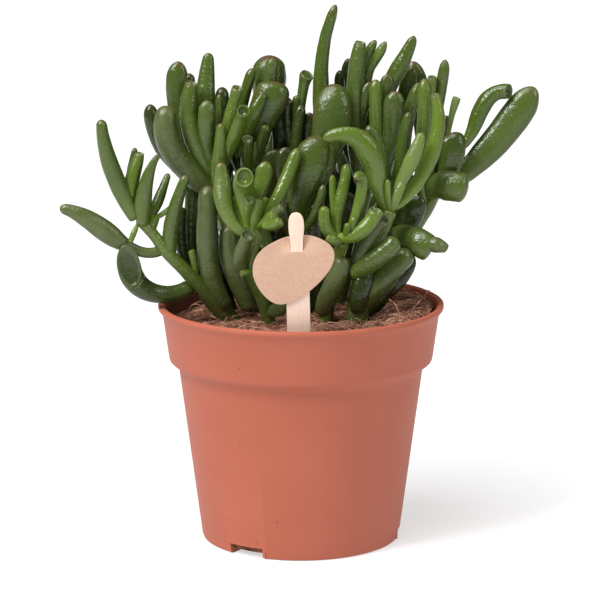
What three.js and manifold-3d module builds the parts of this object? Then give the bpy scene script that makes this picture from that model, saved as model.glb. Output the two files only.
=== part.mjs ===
// A potted hobbit jade: a Crassula with finger and trumpet leaves in a terracotta nursery pot,
// standing in coir soil, with a blank card on a flat wooden stick.
// Millimetres, +Z up. The origin is on the pot's axis, on the plane that the pot stands on,
// and the side that is looked at is -Y.
import * as THREE from 'three';
import { mergeVertices } from 'three/addons/utils/BufferGeometryUtils.js';
import Module from 'manifold-3d';

const wasm = await Module();
wasm.setup();

// The pot: a plain tapered body under a wider collar with a rolled lip
const potHeight = 101;
const lipRadius = 60;
const collarTopRadius = 58;
const collarBottomRadius = 55.6;
const collarBottomHeight = 78;
const shoulderRadius = 51.3;
const shoulderHeight = 72.7;
const baseRadius = 42;
const wall = 1.3;
const floorThickness = 1.6;
const drainCount = 3;
const drainFirstAngle = -33;
const drainWidth = 16;
const drainHeight = 4.6;
const drainInnerRadius = 27;
const drainHoleRadius = 4;
const drainHolePlace = 33.5;
const potSides = 36;

// The soil: coir, higher towards the right and the middle
const soilHeight = 93.4;
const soilSlope = 0.05;
const soilDome = 2.6;
const soilRipple = 0.9;
const soilSides = 30;
const gap = 0.3;

// The stick and the card that it holds, both leaning out over the pot's front
const labelDepth = -50.5;
const labelHeight = 101;
const labelLean = Math.atan(0.12);
const labelTurn = 0.024;
const stickX = -0.85;
const stickWidth = 9.7;
const stickThickness = 1.6;
const stickBelow = 52;
const stickShoulder = 27;
const neckWidth = 5.4;
const neckHeight = 34.5;
const headWidth = 6.5;
const headHeight = 48.7;
const cardThickness = 0.8;
const slotWidth = 6.4;
const slotBottom = 28.2;
const slotTop = 33.6;

// The eye that the leaf tables are read from
const eye = new THREE.Vector3(0, -1200, 353.3);

// A table's point is [x, z, depth]: x and z as seen against the upright plane through the
// pot's axis, and depth as its true y. This gives the point itself.
function seen([x, z, depth]) {
  const onPlane = new THREE.Vector3(x, 0, z);
  return eye.clone().lerp(onPlane, (depth - eye.y) / -eye.y);
}

// A smooth line through a few points, evenly spaced along it
class Spine extends THREE.Curve {
  constructor(points) {
    super();
    this.points = points;
  }

  getPoint(t, target = new THREE.Vector3()) {
    const last = this.points.length - 1;
    target.set(0, 0, 0);
    this.points.forEach((point, i) => {
      let weight = 1;
      for (let j = 0; j <= last; j += 1) {
        if (j !== i) weight *= (t * last - j) / (i - j);
      }
      target.addScaledVector(point, weight);
    });
    return target;
  }
}

// The leaf forms, as rows of [radius, place along the leaf], from the root to the tip.
// flat is the thickness over the width. A form that ends on a rim is hollowed at its end,
// and slant tells how far that rim leans towards the eye, over the half width.
const forms = {
  finger: { flat: 0.85, rows: [[0.56, 0], [0.84, 0.2], [1.03, 0.5], [0.98, 0.8], [0.7, 0.95], [0, 1]] },
  thick: { flat: 0.85, rows: [[0.72, 0], [0.94, 0.25], [1.03, 0.5], [0.97, 0.76], [0.64, 0.95], [0, 1]] },
  taper: { flat: 0.85, rows: [[0.7, 0], [0.97, 0.22], [1.03, 0.45], [0.86, 0.68], [0.62, 0.9], [0, 1]] },
  spike: { flat: 0.7, rows: [[0.62, 0], [1, 0.24], [0.96, 0.44], [0.6, 0.76], [0.36, 0.94], [0, 1]] },
  lance: { flat: 0.7, rows: [[0.46, 0], [0.78, 0.3], [1.03, 0.6], [0.84, 0.8], [0.56, 0.94], [0, 1]] },
  spindle: { flat: 0.6, rows: [[0.4, 0], [0.58, 0.32], [1.03, 0.56], [0.88, 0.76], [0.5, 0.95], [0, 1]] },
  claw: {
    flat: 0.6,
    rows: [[0.42, 0], [0.6, 0.14], [0.92, 0.34], [1, 0.5], [0.74, 0.74], [0.46, 0.92], [0, 1]],
  },
  spoon: {
    flat: 0.55,
    rows: [[0.46, 0], [0.68, 0.28], [0.9, 0.5], [1.03, 0.74], [0.96, 0.88], [0.64, 0.97], [0, 1]],
  },
  egg: {
    flat: 0.5,
    rows: [[0.46, 0], [0.7, 0.3], [0.97, 0.55], [1.02, 0.7], [0.82, 0.86], [0.54, 0.95], [0, 1]],
  },
  paddle: {
    flat: 0.62,
    rows: [[0.44, 0], [0.74, 0.2], [1, 0.48], [1.04, 0.7], [1, 0.88], [0.68, 0.98], [0, 1]],
  },
  club: {
    flat: 0.85,
    rows: [[0.44, 0], [0.58, 0.3], [0.72, 0.5], [1.02, 0.78], [0.92, 0.91], [0.58, 0.98], [0, 1]],
  },
  horn: {
    flat: 0.85, slant: 0.2,
    rows: [[0.5, 0], [0.84, 0.24], [1.03, 0.5], [0.92, 0.76], [0.7, 0.95], [0.6, 1], [0, 0.975]],
  },
  cup: {
    flat: 0.85, slant: 0.4,
    rows: [[0.5, 0], [0.84, 0.3], [0.96, 0.62], [0.84, 0.87], [0.94, 1], [0, 0.93]],
  },
  flared: {
    flat: 0.95, slant: 0.1,
    rows: [[0.6, 0], [0.62, 0.5], [0.72, 0.8], [1, 0.97], [0.9, 1], [0, 0.96]],
  },
  ear: {
    flat: 0.8, slant: 1.7,
    rows: [[0.66, 0], [0.72, 0.35], [0.86, 0.65], [0.98, 0.86], [1, 1], [0, 0.93]],
  },
};
const leafSides = 6;
const rearSides = 5;
const tangentStep = 0.01;
const slantStart = 0.8; // place along the leaf from which a rim leans

// A closed, merged mesh made a solid, with its faces turned outwards
function solid(geometry) {
  const bare = geometry.clone();
  bare.deleteAttribute('normal');
  bare.deleteAttribute('uv');
  const merged = mergeVertices(bare, 1e-4);
  const corners = merged.index.array;
  const kept = [];
  for (let i = 0; i < corners.length; i += 3) {
    const [a, b, c] = [corners[i], corners[i + 1], corners[i + 2]];
    if (a !== b && b !== c && c !== a) kept.push(a, b, c);
  }
  const vertProperties = new Float32Array(merged.attributes.position.array);
  const body = (triVerts) => new wasm.Manifold(new wasm.Mesh({ numProp: 3, vertProperties, triVerts }));
  const made = body(new Uint32Array(kept));
  return made.volume() > 0 ? made : body(new Uint32Array(kept.reverse()));
}

// A turned profile bent along a spine. size(t) gives the half width and half thickness there,
// and the broad face looks back at the eye.
function bent(rows, sides, spine, size, slant = 0) {
  const profile = [[0, 0], ...rows].map(([radius, t]) => new THREE.Vector2(radius, t));
  const lathe = new THREE.LatheGeometry(profile, sides);
  const spots = lathe.attributes.position;
  for (let i = 0; i < spots.count; i += 1) {
    const t = spots.getY(i);
    const at = spine.getPoint(t);
    const next = spine.getPoint(Math.min(t + tangentStep, 1));
    const ahead = next.sub(spine.getPoint(Math.max(t - tangentStep, 0))).normalize();
    const look = at.clone().sub(eye).normalize();
    const across = look.cross(ahead).normalize();
    const through = across.clone().cross(ahead);
    const [halfWidth, halfThickness] = size(t);
    at.addScaledVector(across, spots.getZ(i) * halfWidth);
    at.addScaledVector(through, spots.getX(i) * halfThickness);
    const lean = slant * THREE.MathUtils.smoothstep(t, slantStart, 1);
    at.addScaledVector(ahead, -lean * spots.getX(i) * halfWidth);
    spots.setXYZ(i, at.x, at.y, at.z);
  }
  return solid(lathe);
}

// One leaf: its form, its width at the widest, and the points that it passes
function leaf([form, width, ...points]) {
  const { flat, slant, rows } = forms[form];
  const half = width / 2;
  return bent(rows, leafSides, new Spine(points.map(seen)), () => [half, half * flat], slant);
}

// One stretch of stem: rows of [x, z, depth, radius], smoothly joined
function stem(rows) {
  const line = new THREE.CatmullRomCurve3(rows.map(seen));
  const last = rows.length - 1;
  const size = (t) => {
    const place = THREE.MathUtils.clamp(t, 0, 1) * last;
    const before = Math.min(Math.floor(place), last - 1);
    const radius = THREE.MathUtils.lerp(rows[before][3], rows[before + 1][3], place - before);
    return [radius, radius];
  };
  const profile = rows.map((row, i) => [1, i / last]);
  return bent([...profile, [0, 1]], leafSides, line, size);
}

// The solids of one leafy stem as one body. A hollow that the joins seal is filled, and a
// scrap that holds on to nothing is dropped.
function fuse(solids) {
  const whole = solids.reduce((sum, next) => sum.add(next));
  const bodies = whole.decompose();
  bodies.sort((a, b) => b.volume() - a.volume());
  return bodies[0];
}

const plant = new THREE.Group();

// A solid as a named mesh of the group
function add(name, made, colour, roughness) {
  const { vertProperties, triVerts } = made.getMesh();
  const geometry = new THREE.BufferGeometry();
  geometry.setAttribute('position', new THREE.BufferAttribute(vertProperties, 3));
  geometry.setIndex(new THREE.BufferAttribute(triVerts, 1));
  const material = new THREE.MeshStandardMaterial({ color: colour, roughness, metalness: 0 });
  const mesh = new THREE.Mesh(geometry, material);
  mesh.name = name;
  plant.add(mesh);
}

// The upper left stem of the pot: it leans out to the left and ends in a light sprig
const leftStem = {
  stem: [
    [-26, 80, 1, 4], [-28, 91, 0, 4], [-35, 99, -4, 3.8], [-42.9, 108.2, -8, 3.2],
    [-49.3, 115.2, -11, 2.8], [-56.6, 122.8, -14, 2.7], [-61.4, 129.4, -15, 2.3], [-68, 137, -16, 2.6],
  ],
  leaves: [
    ['taper', 6.7, [-69.3, 136.6, -17], [-76.2, 150.3, -19], [-81.1, 164.4, -21], [-83.1, 178.2, -22]],
    ['horn', 6.2, [-69.6, 136.2, -16], [-71.7, 145.1, -17], [-69.8, 154.6, -16], [-67, 163.8, -15]],
    ['taper', 3.8, [-69.8, 136.2, -14], [-71.4, 147.2, -10], [-70.6, 157.7, -8], [-68.8, 166.4, -7]],
    ['spike', 7, [-66.2, 133.8, -17], [-65.7, 143.6, -19], [-63.7, 154.2, -20], [-59.2, 163.2, -20]],
    ['taper', 4.4, [-63.4, 136.6, -14], [-60, 142.9, -11], [-57.6, 148.9, -9], [-55.1, 155.6, -7]],
    ['spike', 6.8, [-54.5, 119.2, -13], [-54.4, 130.2, -14], [-51.9, 142.2, -15], [-47.5, 154.8, -16]],
    ['finger', 2.2, [-63.4, 136.2, -15], [-58.5, 138, -14.5], [-52.9, 142.6, -14.5]],
    ['finger', 2.4, [-68.3, 133.8, -17], [-69.9, 130.2, -18], [-71.5, 126.3, -19]],
    ['spindle', 8, [-57.7, 123.8, -14], [-71.5, 124.1, -16], [-85.2, 133.6, -18], [-100.7, 140.9, -18]],
    ['ear', 9.6, [-47, 107.1, -9], [-55.8, 104.1, -12], [-65.9, 106.5, -15], [-72, 115.9, -20]],
    ['finger', 3.6, [-43.9, 112.4, -6], [-47.2, 126.3, -4], [-49.1, 137.5, -2]],
    ['finger', 6.4, [-42.3, 109.2, -2], [-45.4, 123.1, 2], [-45.7, 136.9, 4], [-44.8, 152.3, 5]],
    ['thick', 8.8, [-31.5, 99.2, -5], [-38.1, 115, -8], [-39.2, 132.5, -9], [-39, 150.3, -9]],
    ['thick', 9, [-21.9, 98.5, -2], [-26.6, 110.3, -4], [-29.7, 121.5, -5], [-29.8, 133.8, -5]],
    ['spoon', 9, [-28.5, 97, 1], [-32, 105, 2], [-34.6, 115, 3], [-36, 127, 3]],
    ['finger', 3, [-43.9, 111.6, -9], [-44.9, 118.9, -11], [-46.1, 123.1, -12]],
  ],
};

// The light sprig behind the card's left shoulder
const frontLeftStem = {
  stem: [
    [-13, 80, -14, 3], [-13.5, 93, -15, 3], [-17, 104, -18, 2.6], [-21, 113.5, -21, 2.3],
    [-19.8, 122, -23, 1.7], [-18, 128.5, -24, 2.2], [-19.8, 133.5, -24, 2.4],
  ],
  leaves: [
    ['lance', 7.8, [-23.9, 129.9, -24], [-30.8, 138.8, -22], [-32.6, 148.9, -18], [-33.5, 160.1, -17]],
    ['finger', 3.8, [-21, 131.5, -22], [-26.3, 137, -19], [-28.3, 146.3, -17]],
    ['cup', 9.2, [-20.5, 132, -23], [-22.6, 143, -23], [-24, 151, -26], [-23.4, 153.8, -34]],
    ['spoon', 7, [-19.5, 133, -23], [-18.7, 144, -20], [-15.9, 153, -18], [-16, 160.4, -17]],
    ['cup', 4.2, [-21, 133, -24], [-22, 139, -27], [-21.2, 144.4, -31]],
    ['finger', 5, [-19.5, 132, -25], [-18.6, 139, -27], [-17.9, 145, -28]],
    ['finger', 3.6, [-18.5, 132, -24], [-16.5, 139, -22], [-14.3, 145.5, -21]],
    ['finger', 5.4, [-19, 131, -24], [-11, 143, -23], [-6, 153.5, -20], [-1.2, 166.3, -17]],
    ['club', 6, [-20, 132.9, -25], [-15, 135, -27], [-10, 137.9, -30]],
    ['cup', 6.4, [-20.5, 113.5, -21], [-25.4, 116.7, -25], [-24.4, 123.1, -28], [-22.2, 129.4, -31]],
    ['finger', 3.2, [-19.9, 114.9, -22], [-22.7, 113.5, -25], [-25.4, 113, -27]],
    ['spoon', 7, [-16, 97.5, -15], [-12, 97, -19], [-9, 98.5, -21], [-7, 102, -22]],
    ['finger', 4.6, [-15.7, 133.6, -29], [-11.5, 133.8, -32], [-8.3, 135.5, -35]],
    ['finger', 4.4, [-17.1, 135.2, -26], [-11.9, 138.4, -27], [-7.3, 141.2, -29]],
  ],
};

// The tall stem at the back left, with the cup leaves that stand highest on that side
const backLeftStem = {
  stem: [
    [-16, 81, 12, 3.4], [-18, 95, 12, 3.2], [-24, 112, 10, 3], [-31, 132, 7, 2.8], [-35, 148, 5, 2.6],
    [-36.5, 160, 5, 2.4],
  ],
  leaves: [
    ['taper', 6.2, [-35, 149.4, 3], [-34.3, 157, -2], [-33.6, 166.3, -4], [-33.1, 176.6, -5]],
    ['cup', 5.4, [-34.1, 158.7, 4], [-31.8, 169.6, 1], [-29.2, 180.5, 1], [-26.2, 191.2, 2]],
    ['cup', 6, [-32.8, 157.9, 3], [-29.5, 166.3, -3], [-26.3, 174.7, -6], [-23.8, 181.8, -11]],
    ['horn', 8.4, [-34.1, 153.6, 4], [-42.2, 165, 3], [-46.2, 179.3, 4], [-45, 193.3, 5]],
    ['spoon', 9.4, [-37, 157, 6], [-46.9, 171, 10], [-51, 186.5, 12], [-50.4, 202.5, 13]],
    ['thick', 10.6, [-35.8, 147.3, 5], [-46.6, 156.6, 1], [-55, 169.2, -2], [-54.5, 183.7, -1]],
    ['finger', 6.8, [-37, 151, 6], [-50, 158, 8], [-59, 169.2, 9], [-62.4, 184.6, 9]],
    ['lance', 7.2, [-37.4, 156.3, 6], [-39, 173, 9], [-38.9, 190.1, 13], [-37.4, 206, 15]],
    ['spoon', 6.8, [-35.3, 157, 3], [-38.6, 166.3, 0], [-39.4, 176.3, -1], [-38.6, 186.2, 0]],
    ['finger', 3.6, [-36, 158, 6], [-34, 173, 7], [-33.8, 188.8, 7]],
    ['finger', 3.4, [-36.2, 153.6, 6], [-43.2, 163.8, 9], [-48.7, 175.5, 11], [-49.9, 188.9, 12]],
    ['finger', 6.2, [-36, 157, 7], [-33.4, 174, 12], [-32.6, 191.8, 14]],
    ['spoon', 9, [-36, 152, 9], [-41.5, 160, 12], [-45.5, 172, 14], [-46.5, 187, 14]],
    ['finger', 4.8, [-35.5, 154, 7], [-28.8, 170, 11], [-23.9, 186, 12], [-20, 199.6, 12]],
    ['finger', 6, [-29.7, 123.1, 16], [-32.7, 138, 18], [-32.1, 151.7, 18], [-28.4, 163.3, 18]],
  ],
};

// The stem left of the middle, with the glossy spoon leaf
const middleLeftStem = {
  stem: [
    [-6, 82, 20, 3.2], [-7.5, 96, 20, 3], [-12, 115, 19, 2.8], [-16, 135, 16, 2.6], [-20, 151, 13, 2.4],
    [-21.5, 161, 11, 2.2],
  ],
  leaves: [
    ['spoon', 14.2, [-21.5, 155, 11], [-19.3, 171, 7], [-14, 184, 6], [-10.3, 194, 7]],
    ['club', 14.4, [-20.5, 156, 14], [-16, 174, 19], [-13.6, 189, 21], [-13.4, 205, 21]],
    ['finger', 6.6, [-20, 149, 14], [-25, 158, 15], [-27.4, 168, 16], [-27, 181, 16]],
    ['finger', 6.5, [-20, 157, 13], [-16.8, 174, 16], [-13.6, 190, 17], [-11.6, 204, 16]],
    ['cup', 5.2, [-22.2, 150.7, 11], [-22.7, 159.7, 5], [-22.5, 165.4, 2], [-22.2, 169.8, 0]],
    ['spoon', 10.8, [-17, 139, 14], [-13, 147, 8], [-11.4, 156, 4], [-11.5, 165.8, 2]],
    ['finger', 2.8, [-20.5, 155, 10], [-19.5, 162, 5], [-18.8, 169, 3]],
    ['spoon', 9, [-18, 146, 15], [-10, 156, 17], [-7.4, 169, 18], [-8.4, 182.6, 18]],
    ['lance', 6.4, [-26, 162.6, 7], [-22.7, 172, 4], [-19.5, 180.3, 1], [-14.8, 189.2, 2]],
    ['finger', 4.4, [-19.1, 160.8, 7], [-16.5, 168.2, 3], [-14.5, 175.8, -1]],
  ],
};

// The middle stem, behind the card
const middleStem = {
  stem: [
    [2, 81, 3, 3.6], [1, 94, 2, 3.4], [-2, 115, -3, 3.2], [-3, 132, -5, 3], [0, 145, 1, 2.8],
    [4.5, 157, 7, 2.4],
  ],
  leaves: [
    ['spoon', 13.8, [-4.5, 133, -6], [-0.5, 147, -12], [4.2, 159, -13], [5, 171.4, -10]],
    ['spoon', 10, [-3.5, 135, -6], [3.5, 147, -11], [8.2, 157, -12], [10.8, 168.4, -10]],
    ['egg', 16.6, [3, 148, 3], [9.6, 163, 2], [13, 178.5, 3], [12.5, 193, 6]],
    ['taper', 6.3, [5, 150, 6], [8.7, 176, 12], [8.5, 199.2, 15], [14.3, 225.9, 15]],
    ['flared', 6.4, [2, 148, 5], [-0.8, 167, 11], [0.3, 186.4, 14], [2.5, 196.8, 14]],
    ['finger', 3.8, [-1, 164, 10], [-2.4, 178, 12], [-1.3, 188.3, 13]],
    ['finger', 5.2, [0.5, 146, 3], [-1.8, 166, 5], [0.4, 184.4, 6]],
    ['spoon', 8, [-2.5, 138, -3], [-6, 152, -3], [-6.2, 166.7, -2]],
    ['finger', 4.2, [-3, 126, -5], [-6, 135, -10], [-7.6, 143.3, -12]],
    ['spoon', 7.4, [2, 147, 3], [3.2, 158, 6], [3.7, 169, 8], [3.4, 181.2, 8]],
    ['spoon', 9.4, [1, 104, 0], [5, 117, -1], [7, 129, -3], [6.2, 143, -4]],
    ['spoon', 8.6, [1, 97.5, 1], [5, 101, 0], [7.4, 106.5, -1], [8, 114, -1]],
    ['finger', 3.8, [-1.5, 130, -6], [5.6, 138, -14], [9.4, 150.8, -16]],
  ],
};

// The stem at the back right of the middle, with the tall cup and finger leaves
const backRightStem = {
  stem: [
    [14, 82, 22, 3.4], [15, 96, 22, 3.2], [19, 115, 20, 3], [24, 135, 18, 2.8], [28, 152, 16, 2.4],
    [30, 166, 16, 2.2],
  ],
  leaves: [
    ['horn', 7.6, [27, 146, 16], [22.6, 168, 13], [22.5, 193, 13], [24.6, 210.1, 14]],
    ['club', 4.6, [28, 153, 17], [25.2, 175, 20], [25.2, 195, 21], [31, 211.2, 20]],
    ['finger', 4.6, [28, 155, 18], [27.1, 190.2, 19], [28.9, 200.6, 19], [35.1, 210.7, 18]],
    ['finger', 5.8, [27.5, 148, 14], [31, 163, 10], [31.2, 179, 8], [31, 195, 8]],
    ['spoon', 5.8, [27.5, 152, 14], [23.4, 168, 13], [24.6, 181, 12], [28.6, 193.9, 12]],
    ['lance', 6.4, [29.5, 160, 17], [35.1, 187.8, 17], [40.2, 199.9, 17], [46.4, 213, 17]],
    ['spoon', 6.4, [30, 163, 17], [34.3, 180, 15], [35.6, 197.1, 14]],
    ['spoon', 9.2, [28, 150, 14], [36, 163, 9], [38.4, 177, 7], [39.2, 190.1, 7]],
    ['finger', 4.8, [27, 150, 17], [18.8, 168, 21], [16.2, 184, 22], [16, 198.8, 22]],
    ['finger', 5.2, [27, 148, 18], [20.5, 166, 25], [18.2, 185, 27], [19.8, 203.7, 27]],
    ['spoon', 9, [16, 106, 20], [17.5, 120, 15], [19.5, 133, 11], [19, 148, 9]],
  ],
};

// The light sprig right of the card
const frontRightStem = {
  stem: [
    [9, 80, -14, 3.2], [10.5, 94, -15, 3], [13, 108, -15, 2.6], [15, 118, -19, 2.4],
    [17.5, 127.5, -25, 3],
  ],
  leaves: [
    ['finger', 5, [16.5, 127, -26], [10.6, 132.5, -28], [10.2, 141.7, -28]],
    ['finger', 4.6, [16.8, 126.5, -25], [15, 137.5, -24], [17.4, 148.5, -22], [18.8, 159.6, -20]],
    ['finger', 3.2, [16, 127, -23], [13.9, 141, -19], [13.2, 155, -17]],
    ['finger', 4.5, [18.5, 126, -25], [23.3, 139.5, -25], [25.6, 151.5, -24], [22.3, 153.4, -30]],
    ['cup', 6.8, [15.4, 128.7, -26], [22, 129.2, -28], [27.6, 133.3, -28], [31.4, 139.6, -27]],
    ['finger', 2.8, [18.5, 127, -27], [19.6, 134.4, -31]],
    ['finger', 3, [19.5, 127, -26], [22.4, 137, -29]],
    ['finger', 4, [17, 127.5, -26], [14, 127.2, -30], [10.5, 128.4, -31]],
    ['thick', 8.4, [9, 97, -16], [11.5, 103.5, -20], [15.3, 112, -22], [17.3, 120.4, -22]],
  ],
};

// The right stem, with the broad leaf that arches over the middle
const rightStem = {
  stem: [
    [22.5, 78, -19, 4.6], [23.3, 90, -18.5, 4.8], [24.2, 99, -18, 4.6], [25, 109, -17, 3.8],
    [27, 118, -16, 3], [30.5, 125.5, -15, 2.6], [35, 132.5, -15, 2.4], [37.3, 140.5, -15, 3],
  ],
  leaves: [
    [
      'claw', 10,
      [36.6, 139.5, -15], [31.6, 153.5, -17], [28, 165.3, -18], [19.8, 171.6, -19], [9.3, 169.3, -19],
    ],
    ['finger', 5.6, [36.6, 141, -14], [34.7, 155.5, -9], [32.2, 168, -8], [26.8, 174.3, -10]],
    ['lance', 6.2, [38.8, 144.8, -15], [42.5, 153.6, -16], [46.9, 162.9, -16], [50.1, 172.8, -15]],
    ['horn', 6.4, [38.9, 141, -14], [49.6, 153.5, -11], [56.2, 170.5, -8], [55.6, 188.2, -6]],
    ['finger', 4.4, [37.8, 141, -13], [40.5, 155, -8], [42, 168.5, -6], [45, 181.3, -6]],
    ['finger', 2.8, [37, 140, -16], [36.4, 145, -18], [36.2, 153, -19]],
    ['finger', 4.2, [38, 140, -16], [39.8, 146, -17], [42.6, 152, -16]],
    ['cup', 6.6, [24, 110, -16], [24, 118.5, -20], [28.5, 127.8, -22], [34.3, 136.5, -24]],
    ['thick', 8.2, [21.4, 113.3, -21], [27.9, 116.9, -23], [34.2, 121.8, -24], [40.5, 127.9, -24]],
    ['thick', 10, [24.5, 98, -18], [29.5, 105.5, -18], [37, 114, -17], [45.8, 122.7, -15]],
    ['spoon', 9, [25, 98.5, -14], [33.5, 103.5, -10], [40.5, 111.5, -7], [46, 122, -4]],
    ['thick', 8.6, [27, 96.5, -12], [31, 101, -10], [35, 107, -9], [39, 114, -8]],
    ['thick', 8.4, [23.8, 97, -22], [24.6, 103, -23], [25.6, 109, -22.6], [27.2, 114, -21.5]],
  ],
};

// The stem that leans out to the far right, with the longest spoon leaf
const farRightStem = {
  stem: [
    [30, 82, 12, 4], [31, 94, 11, 3.8], [35.5, 107, 10, 3.6], [41, 120, 9, 3.4], [46.5, 131, 9, 3],
    [53, 142, 9, 3.1], [57, 151, 10, 2.8],
  ],
  leaves: [
    ['spoon', 12.6, [57, 147, 9], [70.5, 157.8, 12], [83.6, 172.4, 15], [96.8, 191.7, 16]],
    ['cup', 6.6, [67.4, 167.5, 11], [72.4, 176.6, 13], [76.8, 186.1, 14], [85.9, 190, 13]],
    ['flared', 3.8, [56.6, 150.3, 10], [59.3, 162.9, 13], [61.6, 175.5, 14], [64.5, 187, 14]],
    ['spoon', 11, [55.5, 148, 8], [61, 156, 4], [63, 165, 4], [61.8, 172.5, 5]],
    ['paddle', 12.4, [53, 146, 8], [57, 149.6, 2], [62, 150.3, -2], [69.8, 148.9, -4]],
    ['spoon', 9, [36.5, 114, 8.5], [40.5, 123.5, 4], [45, 134.5, 2], [50.3, 146, 1]],
    ['paddle', 10.8, [39.4, 129.5, 8], [44.1, 127.6, -6], [49.3, 124.9, -12], [54.8, 122.8, -14]],
    ['finger', 5.2, [55, 147, 10], [54.4, 168, 15], [57, 186, 17], [59.6, 203.2, 17]],
    ['cup', 4.4, [54, 146, 10], [53.5, 163, 14], [53.6, 179, 14], [54.3, 195.6, 14]],
    ['finger', 6.4, [51, 141, 8], [50.3, 160, 4], [51.3, 177, 2], [50.8, 195.3, 3]],
    ['finger', 5.6, [48, 136, 9], [43, 156, 13], [43.8, 175, 14], [49, 193.6, 14]],
    ['spoon', 7.2, [46, 133, 9], [42, 157, 19], [42.4, 181, 23], [46.4, 199.7, 23]],
    ['spoon', 9.2, [50, 140, 11], [52, 160, 24], [50.2, 182, 28], [45.8, 202.5, 28]],
    ['finger', 4.8, [53.2, 125.2, -12], [57.4, 124.9, -14], [61.2, 123.5, -14]],
  ],
};

// Stem rows that the eye hardly sees: their leaves stand in crossed pairs up the stem, each
// pair turned from the one below, with a seeded draw for length, lean and form
function rearStem({ seed, rows, pairs, longest }) {
  let state = seed;
  const draw = (low, high) => {
    state = (state * 16807) % 2147483647;
    return low + (high - low) * (state / 2147483647);
  };
  const line = new Spine(rows.map(seen));
  const solids = [stem(rows)];
  for (let pair = 0; pair < pairs; pair += 1) {
    const along = 0.42 + 0.55 * (pair / (pairs - 1));
    const root = line.getPoint(along);
    const turn = pair * 1.45 + draw(-0.25, 0.25);
    for (const side of [0, Math.PI]) {
      const out = new THREE.Vector3(Math.cos(turn + side), Math.sin(turn + side), 0);
      const length = longest * draw(0.72, 1);
      const rise = draw(0.7, 1.1) + 0.5 * along;
      const middle = root.clone().addScaledVector(out, length * 0.4);
      middle.z += length * 0.28 * rise;
      const tip = root.clone().addScaledVector(out, length * 0.55);
      tip.z += length * 0.72 * rise;
      const { flat, rows: form } = forms[draw(0, 1) < 0.4 ? 'cup' : 'finger'];
      const half = draw(2.6, 3.6);
      solids.push(bent(form, rearSides, new Spine([root, middle, tip]), () => [half, half * flat]));
    }
  }
  return fuse(solids);
}

const leafyStems = {
  stem_left: { parts: leftStem, colour: 0x5f7f3a },
  stem_front_left: { parts: frontLeftStem, colour: 0x7c9a48 },
  stem_back_left: { parts: backLeftStem, colour: 0x5c7c3a },
  stem_middle_left: { parts: middleLeftStem, colour: 0x4e6b2c },
  stem_middle: { parts: middleStem, colour: 0x4f6e33 },
  stem_back_right: { parts: backRightStem, colour: 0x486a2a },
  stem_front_right: { parts: frontRightStem, colour: 0x70913f },
  stem_right: { parts: rightStem, colour: 0x648641 },
  stem_far_right: { parts: farRightStem, colour: 0x43592f },
};
const rearStems = {
  stem_rear_left: {
    seed: 71,
    rows: [[-20, 86, 38, 3], [-22, 106, 39, 2.8], [-24, 128, 39, 2.6], [-24, 146, 38, 2.2]],
    pairs: 6,
    longest: 32,
  },
  stem_rear_right: {
    seed: 29,
    rows: [[20, 86, 42, 3], [23, 106, 43, 2.8], [26, 126, 44, 2.6], [27, 142, 44, 2.2]],
    pairs: 6,
    longest: 32,
  },
};
const leafRoughness = 0.4;
const rearColour = 0x47602c;

for (const [name, { parts, colour }] of Object.entries(leafyStems)) {
  add(name, fuse([stem(parts.stem), ...parts.leaves.map(leaf)]), colour, leafRoughness);
}
for (const [name, rear] of Object.entries(rearStems)) {
  add(name, rearStem(rear), rearColour, leafRoughness);
}

// A profile of [radius, height] turned about the pot's axis
function turned(points, sides) {
  const profile = points.map(([r, z]) => new THREE.Vector2(r, z));
  return new THREE.LatheGeometry(profile, sides).rotateX(Math.PI / 2);
}

// A box whose length lies along a radius of the pot, from one radius to another
function radialBox(angle, from, to, width, low, high) {
  const box = new THREE.BoxGeometry(to - from, width, high - low);
  box.translate((from + to) / 2, 0, (low + high) / 2);
  box.rotateZ(THREE.MathUtils.degToRad(angle));
  return solid(box);
}

// Angles of the drain channels, counted from +X
const drainStep = 360 / drainCount;
const drainAngles = Array.from({ length: drainCount }, (_, i) => drainFirstAngle - 90 + i * drainStep);

// The pot's inside from the floor's rim up to the lip, as rows of [radius, height]
const inside = [
  [baseRadius - wall - 1.2, floorThickness], [baseRadius - wall - 0.3, floorThickness + 1],
  [shoulderRadius - wall, shoulderHeight - 1], [shoulderRadius - wall + 0.4, shoulderHeight + 1],
  [collarBottomRadius - wall, collarBottomHeight + 1.4], [collarTopRadius - wall, potHeight - 5],
];

function pot() {
  const profile = [
    [0, 0], [baseRadius - 1.6, 0], [baseRadius - 0.5, 0.5], [baseRadius, 1.8],
    [shoulderRadius, shoulderHeight], [shoulderRadius + 1.2, shoulderHeight + 2.6],
    [collarBottomRadius - 1, collarBottomHeight - 1.4], [collarBottomRadius, collarBottomHeight + 0.6],
    [collarTopRadius, potHeight - 5], [lipRadius - 0.9, potHeight - 2.9], [lipRadius, potHeight - 1.7],
    [lipRadius, potHeight - 0.6], [lipRadius - 0.6, potHeight], [lipRadius - 1.6, potHeight],
    [collarTopRadius - wall + 0.3, potHeight - 1.8], ...inside.slice().reverse(), [0, floorThickness],
  ];
  let body = solid(turned(profile, potSides));
  for (const angle of drainAngles) {
    const [from, to] = [drainInnerRadius - wall, baseRadius - 0.6];
    body = body.add(radialBox(angle, from, to, drainWidth + 2 * wall, 0.8, drainHeight + wall));
  }
  for (const angle of drainAngles) {
    body = body.subtract(radialBox(angle, drainInnerRadius, baseRadius + 4, drainWidth, -1, drainHeight));
    const hole = new THREE.CylinderGeometry(drainHoleRadius, drainHoleRadius, 6, 16);
    hole.rotateX(Math.PI / 2);
    hole.translate(drainHolePlace, 0, drainHeight + wall / 2);
    hole.rotateZ(THREE.MathUtils.degToRad(angle));
    body = body.subtract(solid(hole));
  }
  return body;
}

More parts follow.
